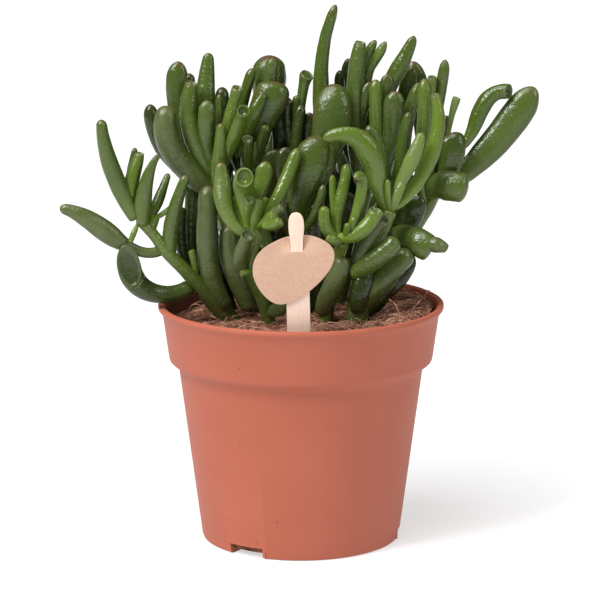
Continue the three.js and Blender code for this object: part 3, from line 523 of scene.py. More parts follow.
leafyStems["stem_back_left"] = {"slot": "leaf_grey_green", "stem": [
    (-16, 81, 12, 3.4), (-18, 95, 12, 3.2), (-24, 112, 10, 3), (-31, 132, 7, 2.8), (-35, 148, 5, 2.6),
    (-36.5, 160, 5, 2.4),
], "leaves": [
    ("taper", 6.2, "fresh", (-35, 149.4, 3), (-34.3, 157, -2), (-33.6, 166.3, -4), (-33.1, 176.6, -5)),
    ("cup", 5.4, "fresh", (-34.1, 158.7, 4), (-31.8, 169.6, 1), (-29.2, 180.5, 1), (-26.2, 191.2, 2)),
    ("cup", 6, "fresh", (-32.8, 157.9, 3), (-29.5, 166.3, -3), (-26.3, 174.7, -6), (-23.8, 181.8, -11)),
    ("horn", 8.4, "plain", (-34.1, 153.6, 4), (-42.2, 165, 3), (-46.2, 179.3, 4), (-45, 193.3, 5)),
    ("spoon", 9.4, "bronzed", (-37, 157, 6), (-46.9, 171, 10), (-51, 186.5, 12), (-50.4, 202.5, 13)),
    ("thick", 10.6, "hoary", (-35.8, 147.3, 5), (-46.6, 156.6, 1), (-55, 169.2, -2), (-54.5, 183.7, -1)),
    ("finger", 6.8, "dark", (-37, 151, 6), (-50, 158, 8), (-59, 169.2, 9), (-62.4, 184.6, 9)),
    ("lance", 8, "plain", (-37.4, 156.3, 6), (-39.5, 173, 9), (-39.4, 190.1, 13), (-37.9, 206, 15)),
    ("spoon", 6.8, "plain", (-35.3, 157, 3), (-38.6, 166.3, 0), (-39.4, 176.3, -1), (-38.6, 186.2, 0)),
    ("finger", 3.6, "plain", (-36, 158, 6), (-34, 173, 7), (-33.8, 188.8, 7)),
    ("finger", 3.4, "plain", (-36.2, 153.6, 6), (-43.2, 163.8, 9), (-48.7, 175.5, 11), (-49.9, 188.9, 12)),
    ("finger", 6.2, "dark", (-36, 157, 7), (-33.4, 174, 12), (-32.6, 191.8, 14)),
    ("spoon", 9, "dark", (-36, 152, 9), (-41.5, 160, 12), (-45.5, 172, 14), (-46.5, 187, 14)),
    ("finger", 4.8, "glossy", (-35.5, 154, 7), (-28.8, 170, 11), (-23.9, 186, 12), (-20, 199.6, 12)),
    ("finger", 6, "dark", (-29.7, 123.1, 16), (-32.7, 138, 18), (-32.1, 151.7, 18), (-28.4, 163.3, 18)),
    ("finger", 5, "dark", (-42, 168, 12), (-44, 178, 13), (-45.6, 188, 13), (-46, 197.5, 13)),
]}

leafyStems["stem_middle_left"] = {"slot": "leaf_deep", "stem": [
    (-6, 82, 20, 3.2), (-7.5, 96, 20, 3), (-12, 115, 19, 2.8), (-16, 135, 16, 2.6), (-20, 151, 13, 2.4),
    (-21.5, 161, 11, 2.2),
], "leaves": [
    ("spoon", 14.2, "bronzed", (-21.5, 155, 11), (-19.3, 171, 7), (-14, 184, 6), (-10.3, 194, 7)),
    ("club", 14.4, "bronzed", (-20.5, 156, 14), (-16, 174, 19), (-13.6, 189, 21), (-13.4, 205, 21)),
    ("finger", 6.6, "dark", (-20, 149, 14), (-25, 158, 15), (-27.4, 168, 16), (-27, 181, 16)),
    ("finger", 6.5, "plain", (-20, 157, 13), (-16.8, 174, 16), (-13.6, 190, 17), (-11.6, 204, 16)),
    ("cup", 5.2, "fresh", (-22.2, 150.7, 11), (-22.7, 159.7, 5), (-22.5, 165.4, 2), (-22.2, 169.8, 0)),
    ("spoon", 10.8, "dark", (-17, 139, 14), (-13, 147, 8), (-11.4, 156, 4), (-11.5, 165.8, 2)),
    ("finger", 2.8, "young", (-20.5, 155, 10), (-19.5, 162, 5), (-18.8, 169, 3)),
    ("spoon", 9, "dark", (-18, 146, 15), (-10, 156, 17), (-7.4, 169, 18), (-8.4, 182.6, 18)),
    ("lance", 6.4, "glossy", (-26, 162.6, 7), (-22.7, 172, 4), (-19.5, 180.3, 1), (-14.8, 189.2, 2)),
    ("finger", 4.4, "glossy", (-19.1, 160.8, 7), (-16.5, 168.2, 3), (-14.5, 175.8, -1)),
    ("spoon", 13, "dark", (-7.5, 98, 21), (-10, 114, 24), (-10.5, 129, 24), (-9, 146, 23)),
    ("spoon", 11, "dark", (-7.5, 98, 21), (-16, 110, 26), (-22, 124, 27), (-24.5, 140, 26)),
]}

leafyStems["stem_middle"] = {"slot": "leaf_deep", "stem": [
    (2, 81, 3, 3.6), (1, 94, 2, 3.4), (-2, 115, -3, 3.2), (-3, 132, -5, 3), (0, 145, 1, 2.8),
    (4.5, 157, 7, 2.4),
], "leaves": [
    ("spoon", 13.8, "bronzed", (-4.5, 133, -6), (-0.5, 147, -12), (4.2, 159, -13), (5, 171.4, -10)),
    ("spoon", 10, "bronzed", (-3.5, 135, -6), (3.5, 147, -11), (8.2, 157, -12), (10.8, 168.4, -10)),
    ("egg", 16.6, "bronzed", (3, 148, 3), (9.6, 163, 2), (13, 178.5, 3), (12.5, 193, 6)),
    ("taper", 7, "glossy", (5, 150, 6), (8.4, 176, 12), (8.4, 199.2, 15), (14.4, 225.9, 15)),
    ("flared", 6.4, "plain", (2, 148, 5), (-0.8, 167, 11), (0.3, 186.4, 14), (2.5, 196.8, 14)),
    ("finger", 3.8, "plain", (-1, 164, 10), (-2.4, 178, 12), (-1.3, 188.3, 13)),
    ("finger", 5.2, "dark", (0.5, 146, 3), (-1.8, 166, 5), (0.4, 184.4, 6)),
    ("spoon", 8, "dark", (-2.5, 138, -3), (-6, 152, -3), (-6.2, 166.7, -2)),
    ("finger", 4.2, "dark", (-3, 126, -5), (-6, 135, -10), (-7.6, 143.3, -12)),
    ("spoon", 7.4, "dark", (2, 147, 3), (3.2, 158, 6), (3.7, 169, 8), (3.4, 181.2, 8)),
    ("spoon", 9.4, "dark", (1, 104, 0), (5, 117, -1), (7, 129, -3), (6.2, 143, -4)),
    ("spoon", 8.6, "dark", (1, 97.5, 1), (5, 101, 0), (7.4, 106.5, -1), (8, 114, -1)),
    ("finger", 3.8, "plain", (-1.5, 130, -6), (5.6, 138, -14), (9.4, 150.8, -16)),
    ("spoon", 13, "dark", (0.5, 98, 14), (0.5, 116, 16), (2.5, 131, 17), (4.5, 146, 18)),
    ("finger", 5, "dark", (-1, 160, 10), (-4, 170, 12), (-5.4, 179, 12), (-5.6, 187.5, 12)),
]}

leafyStems["stem_back_right"] = {"slot": "leaf_deep", "stem": [
    (14, 82, 22, 3.4), (15, 96, 22, 3.2), (19, 115, 20, 3), (24, 135, 18, 2.8), (28, 152, 16, 2.4),
    (30, 166, 16, 2.2),
], "leaves": [
    ("horn", 7.6, "plain", (27, 146, 16), (22.6, 168, 13), (22.5, 193, 13), (24.6, 210.1, 14)),
    ("club", 4.6, "plain", (28, 153, 17), (25.2, 175, 20), (25.2, 195, 21), (31, 211.2, 20)),
    ("finger", 4.6, "fresh", (28, 155, 18), (27.1, 190.2, 19), (28.9, 200.6, 19), (35.1, 210.7, 18)),
    ("finger", 5.8, "fresh", (27.5, 148, 14), (31, 163, 10), (31.2, 179, 8), (31, 195, 8)),
    ("spoon", 5.8, "bronzed", (27.5, 152, 14), (23.4, 168, 13), (24.6, 181, 12), (28.6, 193.9, 12)),
    ("lance", 7.2, "glossy", (29.5, 160, 17), (35.5, 187.8, 17), (40.6, 199.9, 17), (46.8, 213, 17)),
    ("spoon", 6.4, "bronzed", (30, 163, 17), (34.3, 180, 15), (35.6, 197.1, 14)),
    ("spoon", 9.2, "bronzed", (28, 150, 14), (36, 163, 9), (38.4, 177, 7), (39.2, 190.1, 7)),
    ("finger", 4.8, "dark", (27, 150, 17), (18.8, 168, 21), (16.2, 184, 22), (16, 198.8, 22)),
    ("finger", 5.2, "dark", (27, 148, 18), (20.5, 166, 25), (18.2, 185, 27), (19.8, 203.7, 27)),
    ("spoon", 9, "dark", (16, 106, 20), (17.5, 120, 15), (19.5, 133, 11), (19, 148, 9)),
    ("spoon", 12, "dark", (15, 98, 23), (13.5, 118, 22), (12, 137, 20), (12.5, 158, 18)),
    ("spoon", 11, "dark", (19, 116, 21), (22, 132, 24), (24, 148, 25), (24, 166, 24)),
]}

leafyStems["stem_front_right"] = {"slot": "leaf_light", "stem": [
    (9, 80, -14, 3.2), (10.5, 94, -15, 3), (13, 108, -15, 2.6), (15, 118, -19, 2.4), (17.5, 127.5, -25, 3),
], "leaves": [
    ("finger", 5, "young", (16.5, 127, -26), (10.6, 132.5, -28), (10.2, 141.7, -28)),
    ("finger", 4.6, "fresh", (16.8, 126.5, -25), (15, 137.5, -24), (17.4, 148.5, -22), (18.8, 159.6, -20)),
    ("finger", 3.2, "young", (16, 127, -23), (13.9, 141, -19), (13.2, 155, -17)),
    ("finger", 4.5, "young", (18.5, 126, -25), (23.3, 139.5, -25), (25.6, 151.5, -24), (22.3, 153.4, -30)),
    ("cup", 6.8, "young", (15.4, 128.7, -26), (22, 129.2, -28), (27.6, 133.3, -28), (31.4, 139.6, -27)),
    ("finger", 2.8, "young", (18.5, 127, -27), (19.6, 134.4, -31)),
    ("finger", 3, "young", (19.5, 127, -26), (22.4, 137, -29)),
    ("finger", 4, "young", (17, 127.5, -26), (14, 127.2, -30), (10.5, 128.4, -31)),
    ("thick", 8.4, "hoary", (9, 97, -16), (11.5, 103.5, -20), (15.3, 112, -22), (17.3, 120.4, -22)),
]}

leafyStems["stem_right"] = {"slot": "leaf_light", "stem": [
    (22.5, 78, -19, 4.6), (23.3, 90, -18.5, 4.8), (24.2, 99, -18, 4.6), (25, 109, -17, 3.8),
    (27, 118, -16, 3), (30.5, 125.5, -15, 2.6), (35, 132.5, -15, 2.4), (37.3, 140.5, -15, 3),
], "leaves": [
    (
        "claw", 10, "fresh",
        (36.6, 139.5, -15), (31.6, 153.5, -17), (28, 165.3, -18), (19.8, 171.6, -19), (9.3, 169.3, -19),
    ),
    ("finger", 5.6, "plain", (36.6, 141, -14), (34.7, 155.5, -9), (32.2, 168, -8), (26.8, 174.3, -10)),
    ("lance", 6.2, "pale", (38.8, 144.8, -15), (42.5, 153.6, -16), (46.9, 162.9, -16), (50.1, 172.8, -15)),
    ("horn", 6.4, "young", (38.9, 141, -14), (49.6, 153.5, -11), (56.2, 170.5, -8), (55.6, 188.2, -6)),
    ("finger", 4.4, "glossy", (37.8, 141, -13), (40.5, 155, -8), (42, 168.5, -6), (45, 181.3, -6)),
    ("finger", 2.8, "young", (37, 140, -16), (36.4, 145, -18), (36.2, 153, -19)),
    ("finger", 4.2, "pale", (38, 140, -16), (39.8, 146, -17), (42.6, 152, -16)),
    ("cup", 6.6, "hoary", (24, 110, -16), (24, 118.5, -20), (28.5, 127.8, -22), (34.3, 136.5, -24)),
    ("thick", 8.2, "plain", (21.4, 113.3, -21), (27.9, 116.9, -23), (34.2, 121.8, -24), (40.5, 127.9, -24)),
    ("thick", 10, "plain", (24.5, 98, -18), (29.5, 105.5, -18), (37, 114, -17), (45.8, 122.7, -15)),
    ("spoon", 9, "dark", (25, 98.5, -14), (33.5, 103.5, -10), (40.5, 111.5, -7), (46, 122, -4)),
    ("thick", 8.6, "dark", (27, 96.5, -12), (31, 101, -10), (35, 107, -9), (39, 114, -8)),
    ("thick", 8.6, "dark", (23.8, 97, -22), (24.6, 104, -21.5), (26, 111, -20), (28.4, 119, -17)),
]}

leafyStems["stem_far_right"] = {"slot": "leaf_deep", "stem": [
    (30, 82, 12, 4), (31, 94, 11, 3.8), (35.5, 107, 10, 3.6), (41, 120, 9, 3.4), (46.5, 131, 9, 3),
    (53, 142, 9, 3.1), (57, 151, 10, 2.8),
], "leaves": [
    ("spoon", 13, "plain", (57, 147, 9), (70.4, 157.9, 12), (83.6, 172.4, 15), (96.8, 191.7, 16)),
    ("cup", 7.4, "glossy", (67.4, 167.5, 11), (72.4, 176.6, 13), (76.8, 186.1, 14), (85.9, 190, 13)),
    ("flared", 3.8, "pale", (56.6, 150.3, 10), (59.3, 162.9, 13), (61.6, 175.5, 14), (64.5, 187, 14)),
    ("spoon", 11, "bronzed", (55.5, 148, 8), (61, 156, 4), (63, 165, 4), (61.8, 172.5, 5)),
    ("paddle", 12.4, "plain", (53, 146, 8), (57, 149.6, 2), (62, 150.3, -2), (69.8, 148.9, -4)),
    ("spoon", 9, "dark", (36.5, 114, 8.5), (40.5, 123.5, 4), (45, 134.5, 2), (50.3, 146, 1)),
    ("paddle", 11.4, "plain", (39.3, 130.8, 8), (44.1, 129.2, -6), (49.3, 126.3, -12), (55.1, 123.3, -14)),
    ("finger", 5.2, "plain", (55, 147, 10), (54.4, 168, 15), (57, 186, 17), (59.6, 203.2, 17)),
    ("cup", 4.4, "fresh", (54, 146, 10), (53.5, 163, 14), (53.6, 179, 14), (54.3, 195.6, 14)),
    ("finger", 6.4, "fresh", (51, 141, 8), (50.3, 160, 4), (51.3, 177, 2), (50.8, 195.3, 3)),
    ("finger", 5.6, "plain", (48, 136, 9), (43, 156, 13), (43.8, 175, 14), (49, 193.6, 14)),
    ("spoon", 7.2, "glossy", (46, 133, 9), (42, 157, 19), (42.4, 181, 23), (46.4, 199.7, 23)),
    ("spoon", 9.2, "bronzed", (50, 140, 11), (52, 160, 24), (50.2, 182, 28), (45.8, 202.5, 28)),
    ("taper", 6.4, "hoary", (52.5, 125.8, -13), (57.2, 125.1, -15), (61.2, 123.5, -15)),
    ("spoon", 11, "dark", (35.5, 107, 12), (38, 122, 16), (41, 139, 18), (44, 157, 18)),
    ("finger", 4.8, "dark", (50, 138, 12), (56, 152, 14), (59.2, 166, 15), (60.2, 180, 15)),
]}

# The two stems at the back: crossed pairs of leaves up each stem, each pair turned from the one
# below, with a seeded draw for length, lean and form
rearStems = {
    "stem_rear_left": {
        "seed": 71, "pairs": 6, "longest": 32,
        "stem": [(-20, 86, 38, 3), (-22, 106, 39, 2.8), (-24, 128, 39, 2.6), (-24, 146, 38, 2.2)],
    },
    "stem_rear_right": {
        "seed": 29, "pairs": 6, "longest": 32,
        "stem": [(20, 86, 42, 3), (23, 106, 43, 2.8), (26, 126, 44, 2.6), (27, 142, 44, 2.2)],
    },
}


def drawsFrom(seed):  # evenly spread draws between two bounds, always the same for one seed
    state = [seed]

    def draw(low, high):
        state[0] = state[0] * 16807 % 2147483647
        return low + (high - low) * state[0] / 2147483647
    return draw


def addRearLeaves(piece, rows, seed, pairs, longest):
    draw = drawsFrom(seed)
    line = evenSpine([seen(row) for row in rows])
    lowest, highest, quarterTurn = 0.42, 0.97, 1.45
    for pair in range(pairs):
        along = lowest + (highest - lowest) * pair / (pairs - 1)
        root = line(along)
        turn = pair * quarterTurn + draw(-0.25, 0.25)
        for side in (0, math.pi):
            out = Vector((math.cos(turn + side), math.sin(turn + side), 0))
            length = longest * draw(0.72, 1)
            rise = draw(0.7, 1.1) + 0.5 * along
            middle = root + out * length * 0.4 + Vector((0, 0, length * 0.28 * rise))
            tip = root + out * length * 0.55 + Vector((0, 0, length * 0.72 * rise))
            formName = "cup" if draw(0, 1) < 0.4 else "finger"
            half = draw(2.6, 3.6)
            look = ("fresh", "plain", "glossy", "dark")[pair % 4]
            addLeaf(piece, formName, half, evenSpine([root, middle, tip]), look, seed + pair * 5 + side)


# Crassula leaf: a thick water-filled leaf under a waxy skin. It is glossy and deep green, with grey
# wax on old leaves, yellow-green where young, pale pores as fine dots and brown-red sunned rims.
# Painted light and shade: more wax on each leaf's left side, and darker colour on its right side,
# inside cups and on the dark leaves deep in the plant. The sizes are in millimetres.
jadeLeaf = {
    "deep": "#32440A", "young": "#6B852A", "waxAndLitSide": "#626A43", "sunned": "#6B3F33", "pore": "#C3CDA0",
    "poreSpacing": 1.5, "mottleSize": 6, "skinBump": 1.5, "bumpDepth": 0.42, "bumpStrength": 0.65,
    "roughness": 0.22, "ior": 1.47, "subsurface": 0.08, "scatter": 2,
}


def makeLeafMaterial(leaf):
    material, tree, shader = newMaterial("waxyJadeLeaf", {
        "IOR": leaf["ior"], "Subsurface Weight": leaf["subsurface"],
        "Subsurface Radius": (0.6, 1, 0.25), "Subsurface Scale": leaf["scatter"] * mm,
    })
    place = objectPlace(tree)
    tone = addNode(tree, "Attribute", {"attribute_name": "leafTone"})
    waxAndLitSide, youth, red = addNode(tree, "SeparateColor", links={"Color": tone.outputs["Color"]}).outputs
    mottle = noiseOf(tree, place, leaf["mottleSize"], Detail=3)
    green = mixed(tree, youth, leaf["deep"], leaf["young"])
    # the wax share also carries painted light: more grey wax on each leaf's left side, less on its right
    waxAndLitShare = computed(tree, "MULTIPLY", waxAndLitSide, ranged(tree, mottle, 0.3, 0.7, 0.45, 1))
    waxedAndLit = mixed(tree, waxAndLitShare, green, leaf["waxAndLitSide"])
    poreDots = ranged(tree, cellsOf(tree, place, leaf["poreSpacing"]), 0.05, 0.16, 0.8, 0)
    poreShare = computed(tree, "MULTIPLY", poreDots, ranged(tree, mottle, 0.42, 0.62))
    dotted = mixed(tree, poreShare, waxedAndLit, leaf["pore"])
    sunned = mixed(tree, red, dotted, leaf["sunned"])
    # the tone's alpha darkens the colour: partly an old leaf's deeper green, partly painted shade on each
    # leaf's right side, inside cups and on the dark leaves deep in the plant, and darker low on the plant
    shadow = ranged(tree, tone.outputs["Alpha"], 0, 1, 1, 0.28)
    darkened = addNode(
        tree, "Mix", {"data_type": "RGBA", "blend_type": "MULTIPLY", 0: 1}, {6: sunned, 7: shadow}
    ).outputs[2]
    tree.links.new(darkened, shader.inputs["Base Color"])
    rough = ranged(tree, waxAndLitShare, 0, 1, leaf["roughness"] - 0.06, leaf["roughness"] + 0.28)
    tree.links.new(rough, shader.inputs["Roughness"])
    skin = noiseOf(tree, place, leaf["skinBump"], Detail=2, Roughness=0.5)
    relief = computed(tree, "SUBTRACT", skin, poreShare)
    addBump(tree, shader, relief, leaf["bumpStrength"], leaf["bumpDepth"])
    return material


leafMaterial = makeLeafMaterial(jadeLeaf)

for count, (name, parts) in enumerate(leafyStems.items()):
    seed = count * 40
    piece = newPlantPiece(parts["stem"], seed)
    for number, (formName, width, look, *points) in enumerate(parts["leaves"]):
        line = evenSpine([seen(point) for point in points])
        addLeaf(piece, formName, width / 2, line, look, seed + number + 1)
    addPiece(name + "_leaves", meshFrom(piece, name), leafMaterial, parts["slot"], name)
    print(name, "made")
for name, rear in rearStems.items():
    piece = newPlantPiece(rear["stem"], rear["seed"])
    addRearLeaves(piece, rear["stem"], rear["seed"], rear["pairs"], rear["longest"])
    addPiece(name + "_leaves", meshFrom(piece, name), leafMaterial, "leaf_deep", name)
    print(name, "made")


# The pot, in millimetres. Rows are (radius, height), up the outside and down the inside. The drains
# are channels under its floor, with a hood over each and a hole through the hood.
pot = {
    "outside": [
        (0, 0), (40.4, 0), (41.5, 0.5), (42, 1.8), (51.3, 72.7), (51.7, 74), (52.5, 75.3), (54.6, 76.6),
        (55.3, 77.3), (55.6, 78.6), (58, 96), (59.1, 98.1), (59.7, 98.7), (60, 99.3), (60, 100.4),
        (59.8, 100.8), (59.4, 101), (58.4, 101), (57.6, 100.6), (57, 99.2),
    ],
    "inside": [(56.7, 96), (54.3, 79.4), (50.4, 73.7), (50, 71.7), (40.4, 2.6), (39.5, 1.6), (0, 1.6)],
    "midWall": [(41.4, 2), (50.7, 72.7), (55, 79), (57.4, 96)],  # between the inside and the outside
    "sides": 128, "shadeTop": 97,
    "drains": {
        "count": 3, "first": -123, "inner": 27, "outer": 41.4, "cutTo": 46, "width": 16, "height": 4.6,
        "wall": 1.3, "hoodFoot": 0.8, "hole": 4, "holeAt": 33.5, "holeDepth": 6,
    },
}

# Polypropylene, injection moulded and coloured terracotta: even, satin, with a faint cloudiness and
# a few specks of dirt, and painted shade darkening the inside of its wall. The sizes are in millimetres.
potPlastic = {
    "colour": "#A9573F", "pale": "#B5644E", "dirtAndShade": "#4A2A20", "cloudSize": 28, "speckSpacing": 11,
    "grain": 0.5, "innerShadeShare": 0.8, "roughness": 0.6, "ior": 1.47,
}


def turnAboutZ(form, verts, angle):
    bmesh.ops.rotate(form, verts=verts, cent=(0, 0, 0), matrix=Matrix.Rotation(math.radians(angle), 3, "Z"))


def addRadialBox(form, angle, low, high, width, base, top):  # a box along a radius of the pot
    made = bmesh.ops.create_cube(form, size=1)["verts"]
    bmesh.ops.scale(form, verts=made, vec=(high - low, width, top - base))
    bmesh.ops.translate(form, verts=made, vec=((high + low) / 2, 0, (top + base) / 2))
    turnAboutZ(form, made, angle)


def combined(mesh, tool, operation):  # mesh after a boolean with another mesh
    body, helper = addObject("body", mesh), addObject("helper", tool)
    modifier = body.modifiers.new("join", "BOOLEAN")
    modifier.operation = operation
    modifier.solver = "EXACT"
    modifier.use_self = True
    modifier.object = helper
    made = evaluatedMesh(body)
    for item in (body, helper):
        bpy.data.objects.remove(item)
    return made


def makePot(spec):
    body = meshFrom(spun(spec["outside"] + spec["inside"], spec["sides"]), "potShell")
    drains = spec["drains"]
    inner, width, height, wall = drains["inner"], drains["width"], drains["height"], drains["wall"]
    hoods, cuts = bmesh.new(), bmesh.new()
    for k in range(drains["count"]):
        angle = drains["first"] + 360 / drains["count"] * k
        hoodSides = (inner - wall, drains["outer"], width + 2 * wall, drains["hoodFoot"], height + wall)
        addRadialBox(hoods, angle, *hoodSides)
        addRadialBox(cuts, angle, inner, drains["cutTo"], width, -1, height)
        hole = bmesh.ops.create_cone(
            cuts, cap_ends=True, segments=24,
            radius1=drains["hole"], radius2=drains["hole"], depth=drains["holeDepth"],
        )["verts"]
        bmesh.ops.translate(cuts, verts=hole, vec=(drains["holeAt"], 0, height))
        turnAboutZ(cuts, hole, angle)
    body = combined(body, meshFrom(hoods, "drainHoods"), "UNION")
    body = combined(body, meshFrom(cuts, "drainCuts"), "DIFFERENCE")
    form = bmesh.new()
    form.from_mesh(body)
    bmesh.ops.scale(form, verts=form.verts, vec=(mm, mm, mm))
    shell = meshFrom(form, "pot", 32)
    # painted shade: marks the inside of the wall below the shade top, which the material darkens
    shadeMark = shell.attributes.new("innerShade", "FLOAT", "POINT")
    for corner, mark in zip(shell.vertices, shadeMark.data):
        radius, height = corner.co.xy.length / mm, corner.co.z / mm
        mark.value = float(height < spec["shadeTop"] and radius < between(spec["midWall"], height))
    return shell


def makePotMaterial(plastic):
    constants = {"Roughness": plastic["roughness"], "IOR": plastic["ior"]}
    material, tree, shader = newMaterial("mouldedPolypropylene", constants)
    place = objectPlace(tree)
    cloud = ranged(tree, noiseOf(tree, place, plastic["cloudSize"], Detail=2), 0.35, 0.75, 0, 0.35)
    body = mixed(tree, cloud, plastic["colour"], plastic["pale"])
    specks = ranged(tree, cellsOf(tree, place, plastic["speckSpacing"]), 0.03, 0.05, 0.55, 0)
    dirty = mixed(tree, specks, body, plastic["dirtAndShade"])
    # painted shade darkening the inside of the wall, in the dirt colour
    shadeMark = addNode(tree, "Attribute", {"attribute_name": "innerShade"}).outputs["Fac"]
    innerShaded = mixed(tree, ranged(tree, shadeMark, 0, 1, 0, plastic["innerShadeShare"]), dirty, plastic["dirtAndShade"])
    tree.links.new(innerShaded, shader.inputs["Base Color"])
    addBump(tree, shader, noiseOf(tree, place, plastic["grain"], Detail=2), 0.12, 0.1)
    return material


addPiece("nursery_pot", makePot(pot), makePotMaterial(potPlastic), "terracotta_plastic", "pot")
print("pot made")


# The soil, in millimetres: the bed with its wall as rows (radius, height), heaped to the right, and
# with clods on its top as (size, height)
soil = {
    "height": 93.4, "slope": 0.05, "dome": 1.56, "domeReach": 56, "ripple": 0.9, "heap": 2.6,
    "heapFrom": 18, "heapTo": 46, "edge": 55.1, "rings": 44, "sides": 150,
    "wall": [(0, 1.9), (39.2, 1.9), (40.1, 2.9), (49.7, 72), (50.1, 74), (54, 79.7)],
    "clods": [(9, 1.1), (3.6, 0.75), (1.6, 0.35)],
}
# The loose fibres on the soil, in millimetres, the straws among them, which are thicker, and three
# straws that stand out, as rows of (x, z, depth) like the leaf tables'
fibres = {
    "seed": 11, "count": 1900, "reach": 54, "edge": 55.5, "steps": 5, "above": 0.35,
    "length": (5, 16), "thick": (0.1, 0.22), "bend": (-0.9, 0.9), "rise": (-0.3, 0.9),
    "looseShare": 0.35, "loose": (0, 2.2), "lying": (-0.2, 0.5),
    "strawShare": 0.1, "rightOf": 25, "moreRight": 2.5, "longer": 1.5, "strawThick": (0.18, 0.32),
    "standing": [
        [(37, 102, -24), (40, 99.6, -25), (41.4, 95.6, -27), (41.6, 90.5, -28)],
        [(34.4, 90.5, -28), (36, 92.4, -28), (38.2, 93.7, -27)],
        [(54, 106, -5), (49.6, 101, -9), (47, 97.6, -13), (46, 92, -20)],
    ],
    "standingThick": 0.34,
}
# Coir: retted coconut husk, brown crumbs full of reddish fibres, quite dull
coir = {
    "dark": "#3A1F15", "brown": "#7A4C38", "red": "#A06A50", "pale": "#C8987C", "straw": "#E2C4A0",
    "crumb": 1.1, "patch": 7, "fibrePatch": 3,
}


def soilTop(x, y):  # the soil's height, in millimetres
    dome = soil["dome"] * (1 - (math.hypot(x, y) / soil["domeReach"]) ** 2)
    ripple = math.sin(x * 0.31 + 1.3) * math.cos(y * 0.27 - 0.6) + 0.5 * math.sin(x * 0.13 - y * 0.19)
    heap = soil["heap"] * smooth(soil["heapFrom"], soil["heapTo"], x)
    return soil["height"] + soil["slope"] * x + dome + soil["ripple"] * ripple + heap


def makeSoil(spec):
    rows = spec["wall"] + [(spec["edge"] * (1 - k / spec["rings"]), 93) for k in range(spec["rings"] + 1)]
    form = spun(rows, spec["sides"])
    for corner in form.verts:
        if corner.co.z > 92:
            x, y = corner.co.xy
            height = soilTop(x, y)
            for size, tall in spec["clods"]:
                height += tall * noise.noise(Vector((x / size, y / size, size)))
            corner.co.z = height
    bmesh.ops.scale(form, verts=form.verts, vec=(mm, mm, mm))
    return meshFrom(form, "soil", 60)


def makeFibres(spec):
    random.seed(spec["seed"])
    curve = bpy.data.curves.new("fibres", "CURVE")
    curve.dimensions = "3D"
    curve.bevel_depth = 1
    curve.bevel_resolution = 0
    curve.use_fill_caps = True
    for k in range(spec["count"]):
        angle, radius = random.uniform(0, math.tau), spec["reach"] * math.sqrt(random.random())
        x, y = radius * math.cos(angle), radius * math.sin(angle)
        straw = random.random() < spec["strawShare"] * (spec["moreRight"] if x > spec["rightOf"] else 1)
        length = random.uniform(*spec["length"]) * (spec["longer"] if straw else 1)
        heading = random.uniform(0, math.tau)
        thick = random.uniform(*spec["strawThick" if straw else "thick"])
        bend = random.uniform(*spec["bend"])
        lift = random.uniform(*spec["loose" if random.random() < spec["looseShare"] else "lying"])
        rise = random.uniform(*spec["rise"]) * lift
        spline = curve.splines.new("POLY")
        spline.points.add(spec["steps"])
        spline.material_index = 1 if straw else 0
        for step, point in enumerate(spline.points):
            share = step / spec["steps"]
            along = heading + bend * (share - 0.5)
            spot = Vector((x, y, 0)) + Vector((math.cos(along), math.sin(along), 0)) * length * (share - 0.5)
            if spot.length > spec["edge"]:
                spot *= spec["edge"] / spot.length
            spot.z = soilTop(spot.x, spot.y) + spec["above"] + lift * math.sin(math.pi * share) + rise * share
            point.co = (*spot, 1)
            point.radius = thick * (1 - 0.6 * abs(2 * share - 1))
    for row in spec["standing"]:
        spline = curve.splines.new("POLY")
        spline.points.add(len(row) - 1)
        spline.material_index = 1
        for point, place in zip(spline.points, row):
            point.co = (*seen(place), 1)
            point.radius = spec["standingThick"]
    mesh = curveMesh("fibres", curve)
    mesh.transform(Matrix.Scale(mm, 4))
    mesh.shade_smooth()
    return mesh


def makeSoilMaterial(husk):
    material, tree, shader = newMaterial("coirCrumb", {"Roughness": 0.95, "Specular IOR Level": 0.2})
    place = objectPlace(tree)
    crumb = noiseOf(tree, place, husk["crumb"], Detail=5, Roughness=0.7)
    patch = noiseOf(tree, place, husk["patch"], Detail=2)
    ramp = addNode(tree, "ValToRGB", links={"Fac": computed(tree, "MULTIPLY", crumb, patch)})
    stops = ramp.color_ramp.elements
    stops[0].position, stops[0].color = 0.14, fromHex(husk["dark"])
    stops[1].position, stops[1].color = 0.42, fromHex(husk["red"])
    stops.new(0.27).color = fromHex(husk["brown"])
    tree.links.new(ramp.outputs["Color"], shader.inputs["Base Color"])
    addBump(tree, shader, crumb, 0.9, 0.8)
    return material


def makeFibreMaterial(name, husk, low, high):
    material, tree, shader = newMaterial(name, {"Roughness": 0.7})
    patch = noiseOf(tree, objectPlace(tree), husk["fibrePatch"], Detail=1)
    body = mixed(tree, ranged(tree, patch, 0.35, 0.65), husk[low], husk[high])
    tree.links.new(body, shader.inputs["Base Color"])
    return material


addPiece("soil_bed", makeSoil(soil), makeSoilMaterial(coir), "coir_soil", "soil")
coirFibre = makeFibreMaterial("coirFibre", coir, "brown", "pale")
soilFibres = addPiece("soil_fibres", makeFibres(fibres), coirFibre, "coir_soil")
soilFibres.data.materials.append(makeFibreMaterial("driedStraw", coir, "red", "straw"))
print("soil made")


# The label's own frame, in millimetres: x across, y away from the eye, z up from the pot's lip
label = {"x": -0.85, "depth": -50.5, "height": 101, "lean": math.atan(0.12), "turn": 0.024}
stick = {
    "width": 9.4, "thickness": 1.6, "below": 52, "shoulder": 27, "neck": 5, "neckTop": 36,
    "head": 6.2, "top": 48.3, "edge": 0.15,
}
